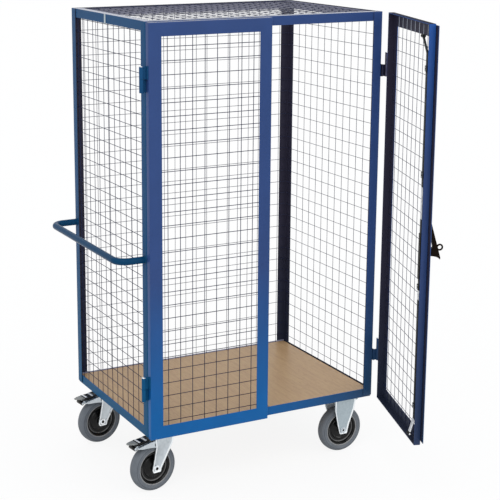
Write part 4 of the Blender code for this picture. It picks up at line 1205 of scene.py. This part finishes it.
def near_edges(centre, normal):
    """True for a plate's edges in front and on the left, which take the bright zinc as a painted highlight.
    """
    return normal.y < -HALF or normal.x < -HALF


def plate_with_bolts(centre, top):
    """A top plate with rounded corners and four bolts through it."""
    outline = []
    low = top - PLATE
    bolts = []
    for x_sign, y_sign, quarter in ((1, 1, 0), (-1, 1, 1), (-1, -1, 2), (1, -1, 3)):
        corner_x = centre[0] + x_sign * (PLATE_LENGTH / 2 - PLATE_CORNER)
        corner_y = centre[1] + y_sign * (PLATE_WIDTH / 2 - PLATE_CORNER)
        outline += arc((corner_x, corner_y), PLATE_CORNER, 6, quarter * QUARTER_TURN, QUARTER_TURN)
    for x_sign in (-1, 1):
        for y_sign in (-1, 1):
            spot_x = centre[0] + x_sign * (PLATE_LENGTH / 2 - BOLT_FROM_END)
            spot_y = centre[1] + y_sign * (PLATE_WIDTH / 2 - BOLT_FROM_SIDE)
            spot = (spot_x, spot_y, low)
            nut = soften(turned(mm((7, -1.4), (7, -6.5)), spot, "Z", HEXAGON), ROUND_FINE)
            tip = turned(mm((4, -6), (4, -8.5), (3.3, -9.2)), spot, "Z", 16)
            bolts += [turned(mm((8, 0), (8, -1.4)), spot, "Z"), nut, tip]
    return [split_looks(soften(prism(outline, "Z", low, top)), near_edges), *bolts]


def make_fixed_castor(tag, low, high):
    """A plate with two legs that bend outwards above the wheel's hub."""
    x = (low.x + high.x) / 2
    y = (low.y + high.y) / 2
    parts = plate_with_bolts((x, y), high.z)
    rise = (high.z - PLATE / 2 - AXLE_Z) / MM
    outline = [(-45, 90), (-50, rise), (50, rise), (45, 90), *FORK_FOOT]
    for side in (-1, 1):
        leg = pressed_leg(outline, (x, AXLE_Z), y, side, FIXED_RIB)
        lean(leg, AXLE_Z + LEAN_START, rise * MM - LEAN_START, side * LEAN_SHIFT)
        parts.append(soften(leg, ROUND_FOLD, LEG_CREASE))
    stand_in("fixed_fork_" + tag, parts, "chassis", "zinc", [zinc_cool, zinc_highlight, zinc_lit])
    make_wheel(tag, "chassis", (x, y, AXLE_Z), STAY)


def swivel_crown(x, y, top):
    """The turning head under the race: a dished disc, a flat crown and the king pin's nut."""
    dish = mm((20, -9), (36, -6), (38, -3.5), (38, -1.2), (36.5, 0), (0.5, 0))
    slab_y = (y - FORK_OUTER, y + FORK_OUTER)
    slab = box((x - SLAB_BEHIND, x + SLAB_AHEAD), slab_y, (top - SLAB_LOW, top - SLAB_TOP))
    nut = turned(mm((12, -10), (12, -17)), (x, y, top), "Z", HEXAGON)
    return [turned(dish, (x, y, top), "Z", 64), soften(slab, ROUND_CASE), soften(nut)]


def make_swivel_castor(tag, low, high):
    """A plate with a ball race, and under it the turned fork, whose wings reach back over the tyre."""
    x = (low.x + high.x) / 2
    y = (low.y + high.y) / 2
    axis = Vector((x, y, 0))
    turn = Matrix.Translation(axis) @ Matrix.Rotation(CASTOR_TURN, 4, "Z") @ Matrix.Translation(-axis)
    body = "swivel_" + tag
    race = mm((0.5, -4), (36, -4), (37, -7), (37, -11), (34, -14.5), (31, -17), (0.5, -17))
    parts = [*plate_with_bolts((x, y), high.z), turned(race, (x, y, high.z), "Z", 64)]
    stand_in("swivel_plate_" + tag, parts, "chassis", "zinc", [zinc, zinc_highlight])
    crown_top = low.z - GAP
    foot = (x - SWIVEL_TRAIL, AXLE_Z)
    parts = swivel_crown(x, y, crown_top)
    root = (crown_top - (SLAB_LOW + SLAB_TOP) / 2 - AXLE_Z) / MM
    leg_outline = [(-6, root), (80, root), (76, 94), *FORK_FOOT, (-13, 22), (-6, 58), (-1, 85)]
    wing_outline = [
        (6, 86), (-1, 85), (-28, 89), (-63, 91), (-79, 95),
        (-72, 101), (-50, 107), (-28, 111), (-6, 113), (6, 113),
    ]
    slot_x = (foot[0] - 8 * MM, foot[0] - 4.5 * MM)
    slot_z = (foot[1] + 91 * MM, foot[1] + 103 * MM)
    slot_shades = []
    for side in (-1, 1):
        leg = pressed_leg(leg_outline, foot, y, side, SWIVEL_RIB)
        wing_y = (y + side * FORK_INNER, y + side * (FORK_OUTER + 1.5 * MM))
        wing = prism(from_foot(wing_outline, foot), "Y", *wing_y)
        parts += [soften(leg, ROUND_FOLD, LEG_CREASE), soften(wing, ROUND_CAST)]
        face = y + side * FORK_OUTER
        # Painted shade: a thin black plate on each leg stands for a slot
        slot_shades.append(soften(box(slot_x, sorted((face, face + side * 1.8 * MM)), slot_z), ROUND_SLOT))
    stand_in("swivel_fork_" + tag, parts, body, "zinc", [zinc, zinc_highlight, zinc_lit], turn=turn)
    fit("fork_slot_shade_" + tag, slot_shades, body, "rim_black", rim_plastic, turn=turn)
    make_pedal(tag, x, y, high.z, turn)
    make_wheel(tag, body, (foot[0], y, AXLE_Z), turn)


def make_pedal(tag, x, y, top, turn):
    """The brake pedal: a zinc cheeked arm, a black ribbed tread, a tapered foot plate and a roller."""
    pin_x = x - PEDAL_AHEAD
    pin_z = top - PEDAL_DROP
    body = "brake_" + tag

    def side_form(points, half, rounding):
        """A side view in millimetres from the pin, (out, up), pulled to a half width."""
        outline = [(pin_x - out, pin_z + up) for out, up in mm(*points)]
        return soften(prism(outline, "Y", y - half * MM, y + half * MM), rounding)

    arm = side_form([
        (-7, 4), (-7, -4), (23, -8), (40, -8.5), (56, -15), (75, -21), (84, -23.5),
        (96, -10), (88, -6), (78, -3), (58, 2), (33, 8), (12, 5.5),
    ], 20, ROUND_THICK)
    bar = dome((pin_x, y, pin_z), PEDAL_BAR, y - PEDAL_REACH, y + PEDAL_REACH, "Y", 24)
    stand_in("brake_pedal_" + tag, [arm, bar], body, "zinc", zinc, turn=turn)
    plate_edge = mm((84, 19.5), (92, 19), (112, 13), (125, 5))
    edge = [(pin_x - out, y - wide) for out, wide in plate_edge]
    edge += [(pin_x - out, y + wide) for out, wide in reversed(plate_edge)]
    nose = soften(prism(edge, "Z", pin_z + 0.3 * MM, pin_z + 4.3 * MM), ROUND_THICK)
    # The zinc foot plate is drawn in a grey non-metal as painted light
    fit("brake_nose_" + tag, nose, body, "zinc", pedal_nose_lit, turn=turn)
    ribs = []
    for out, up, wide in ((50, 7.6, 19.5), (78, 5.2, 18)):
        points = [(out - 4, up + 1.4), (out + 4, up + 0.9), (out + 4, up - 4), (out - 4, up - 4)]
        ribs.append(side_form(points, wide, ROUND_MOULD))
    # The zinc ribs are drawn in a near-white non-metal as a painted highlight
    fit("brake_ribs_" + tag, ribs, body, "zinc", pedal_rib_highlight, turn=turn)
    tread = side_form([
        (12, 5), (12, 8.4), (33, 10.6), (58, 6.4), (88, 4.9), (88, -9), (76, -7), (58, -4), (33, 2),
    ], 20.2, ROUND_MOULD)
    spot = (pin_x - 97 * MM, y, pin_z - 16.7 * MM)
    half = 19.4 * MM
    roller = dome(spot, 8.3 * MM, y - half, y + half, "Y", 32, ROUND_CAST, ROUND_CAST)
    fit("brake_pad_" + tag, [tread, roller], body, "rim_black", rim_plastic, turn=turn)
    ends = mm((4.6, -20), (5.4, -19.5), (5.4, 19.5), (4.6, 20))
    fit("brake_bolt_" + tag, turned(ends, spot, "Y"), body, "zinc", zinc, turn=turn)


def dress_beams():
    for name in ("castor_beam_left", "castor_beam_right"):
        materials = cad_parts[name].data.materials
        materials.clear()
        materials.append(paint)


# Stage, light and camera

class Plain(Tree):
    """Plain shaders on an empty tree: one is what lights things, another is what the eye sees."""

    def __init__(self, owner):
        super().__init__(owner)
        self.nodes.clear()

    def shader(self, kind, colour, **values):
        return self.add(kind, {"Color": (*colour, 1), **values}).outputs[0]

    def blend(self, share, first, second):
        """A mix of two shaders; the share is that of the second."""
        return self.add("ShaderNodeMixShader", {"Fac": share, 1: first, 2: second}).outputs[0]

    def finish(self, kind, for_light, for_eye):
        """Rays from the camera and through gloss or glass meet the second shader, all others the first."""
        path = self.add("ShaderNodeLightPath")
        seen = path.outputs["Is Camera Ray"]
        for ray in ("Is Glossy Ray", "Is Transmission Ray"):
            seen = self.math("MAXIMUM", seen, path.outputs[ray])
        self.add(kind, {"Surface": self.blend(seen, for_light, for_eye)})


def make_floor():
    """A pale floor that keeps the shadow: nearly white to the eye, and plain to the light."""
    reach = 60
    corners = [(-reach, -reach), (reach, -reach), (reach, reach), (-reach, reach)]
    floor = form([(x, y, FLOOR) for x, y in corners], [range(4)])
    floor.name = "floor"
    material = bpy.data.materials.new("pale_floor")
    look = Plain(material)
    for_light = look.shader("ShaderNodeBsdfDiffuse", (0.8, 0.8, 0.8))
    skin = look.shader("ShaderNodeBsdfDiffuse", WHITE)
    glow = look.shader("ShaderNodeEmission", WHITE)
    look.finish("ShaderNodeOutputMaterial", for_light, look.blend(GLOW_SHARE, skin, glow))
    floor.data.materials.append(material)


def make_world():
    world = bpy.data.worlds.new("studio")
    bpy.context.scene.world = world
    look = Plain(world)
    soft = look.shader("ShaderNodeBackground", (0.96, 0.98, 1), Strength=0.76)
    white = look.shader("ShaderNodeBackground", WHITE)
    look.finish("ShaderNodeOutputWorld", soft, white)


def make_lamps():
    """Two soft suns, each by its heading, height and spread in degrees."""
    for name, heading, height, energy, spread in (
        ("key_light", 232, 46, 0.8, 40),
        ("fill_light", 305, 30, 0.4, 60),
    ):
        lamp = bpy.data.lights.new(name, "SUN")
        lamp.energy = energy
        lamp.angle = math.radians(spread)
        turn = math.radians(heading)
        rise = math.radians(height)
        level = math.cos(rise)
        direction = Vector((math.cos(turn) * level, math.sin(turn) * level, math.sin(rise)))
        add_object(name, lamp).rotation_euler = direction.to_track_quat("Z", "Y").to_euler()


def make_camera():
    """The photograph's view: the lens, shift and place were worked out from the trolley's corners."""
    data = bpy.data.cameras.new("camera")
    data.sensor_width = 36
    data.lens = 96.721
    data.shift_x = 0.1134
    data.shift_y = -0.105
    data.clip_end = 200
    yaw = math.radians(26.64)
    pitch = math.radians(12.416)
    place_of_eye = (-2.4651, -4.6436, 1.9322)
    forward = Vector((math.sin(yaw) * math.cos(pitch), math.cos(yaw) * math.cos(pitch), -math.sin(pitch)))
    level = Vector((math.cos(yaw), -math.sin(yaw), 0))
    turn = Matrix((level, level.cross(forward), -forward)).transposed()
    camera = add_object("camera", data)
    camera.matrix_world = Matrix.Translation(place_of_eye) @ turn.to_4x4()
    bpy.context.scene.camera = camera


make_rails()
make_rail_clip()
make_posts()
make_deck()
make_wall_mesh()
make_roof_mesh()
make_push_handle()
make_hinges()
make_doors()
make_case()
make_escutcheon()
make_guides()
make_rod("upper", CASE_Z[1] - ROD_HIDDEN, TOP_RAIL_LOW - STEEL - ROLLER)
make_rod("lower", CASE_Z[0] + ROD_HIDDEN, BASE_TOP + STEEL + ROLLER)
make_grip()
for row in ("front", "rear"):
    make_swivel_castor(f"{row}_left", *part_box(f"swivel_plate_{row}_left"))
for row in ("front", "rear"):
    make_fixed_castor(f"{row}_right", *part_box(f"fixed_fork_{row}_right"))
dress_beams()
make_floor()
make_world()
make_lamps()
make_camera()
bpy.context.scene.view_settings.view_transform = "Standard"
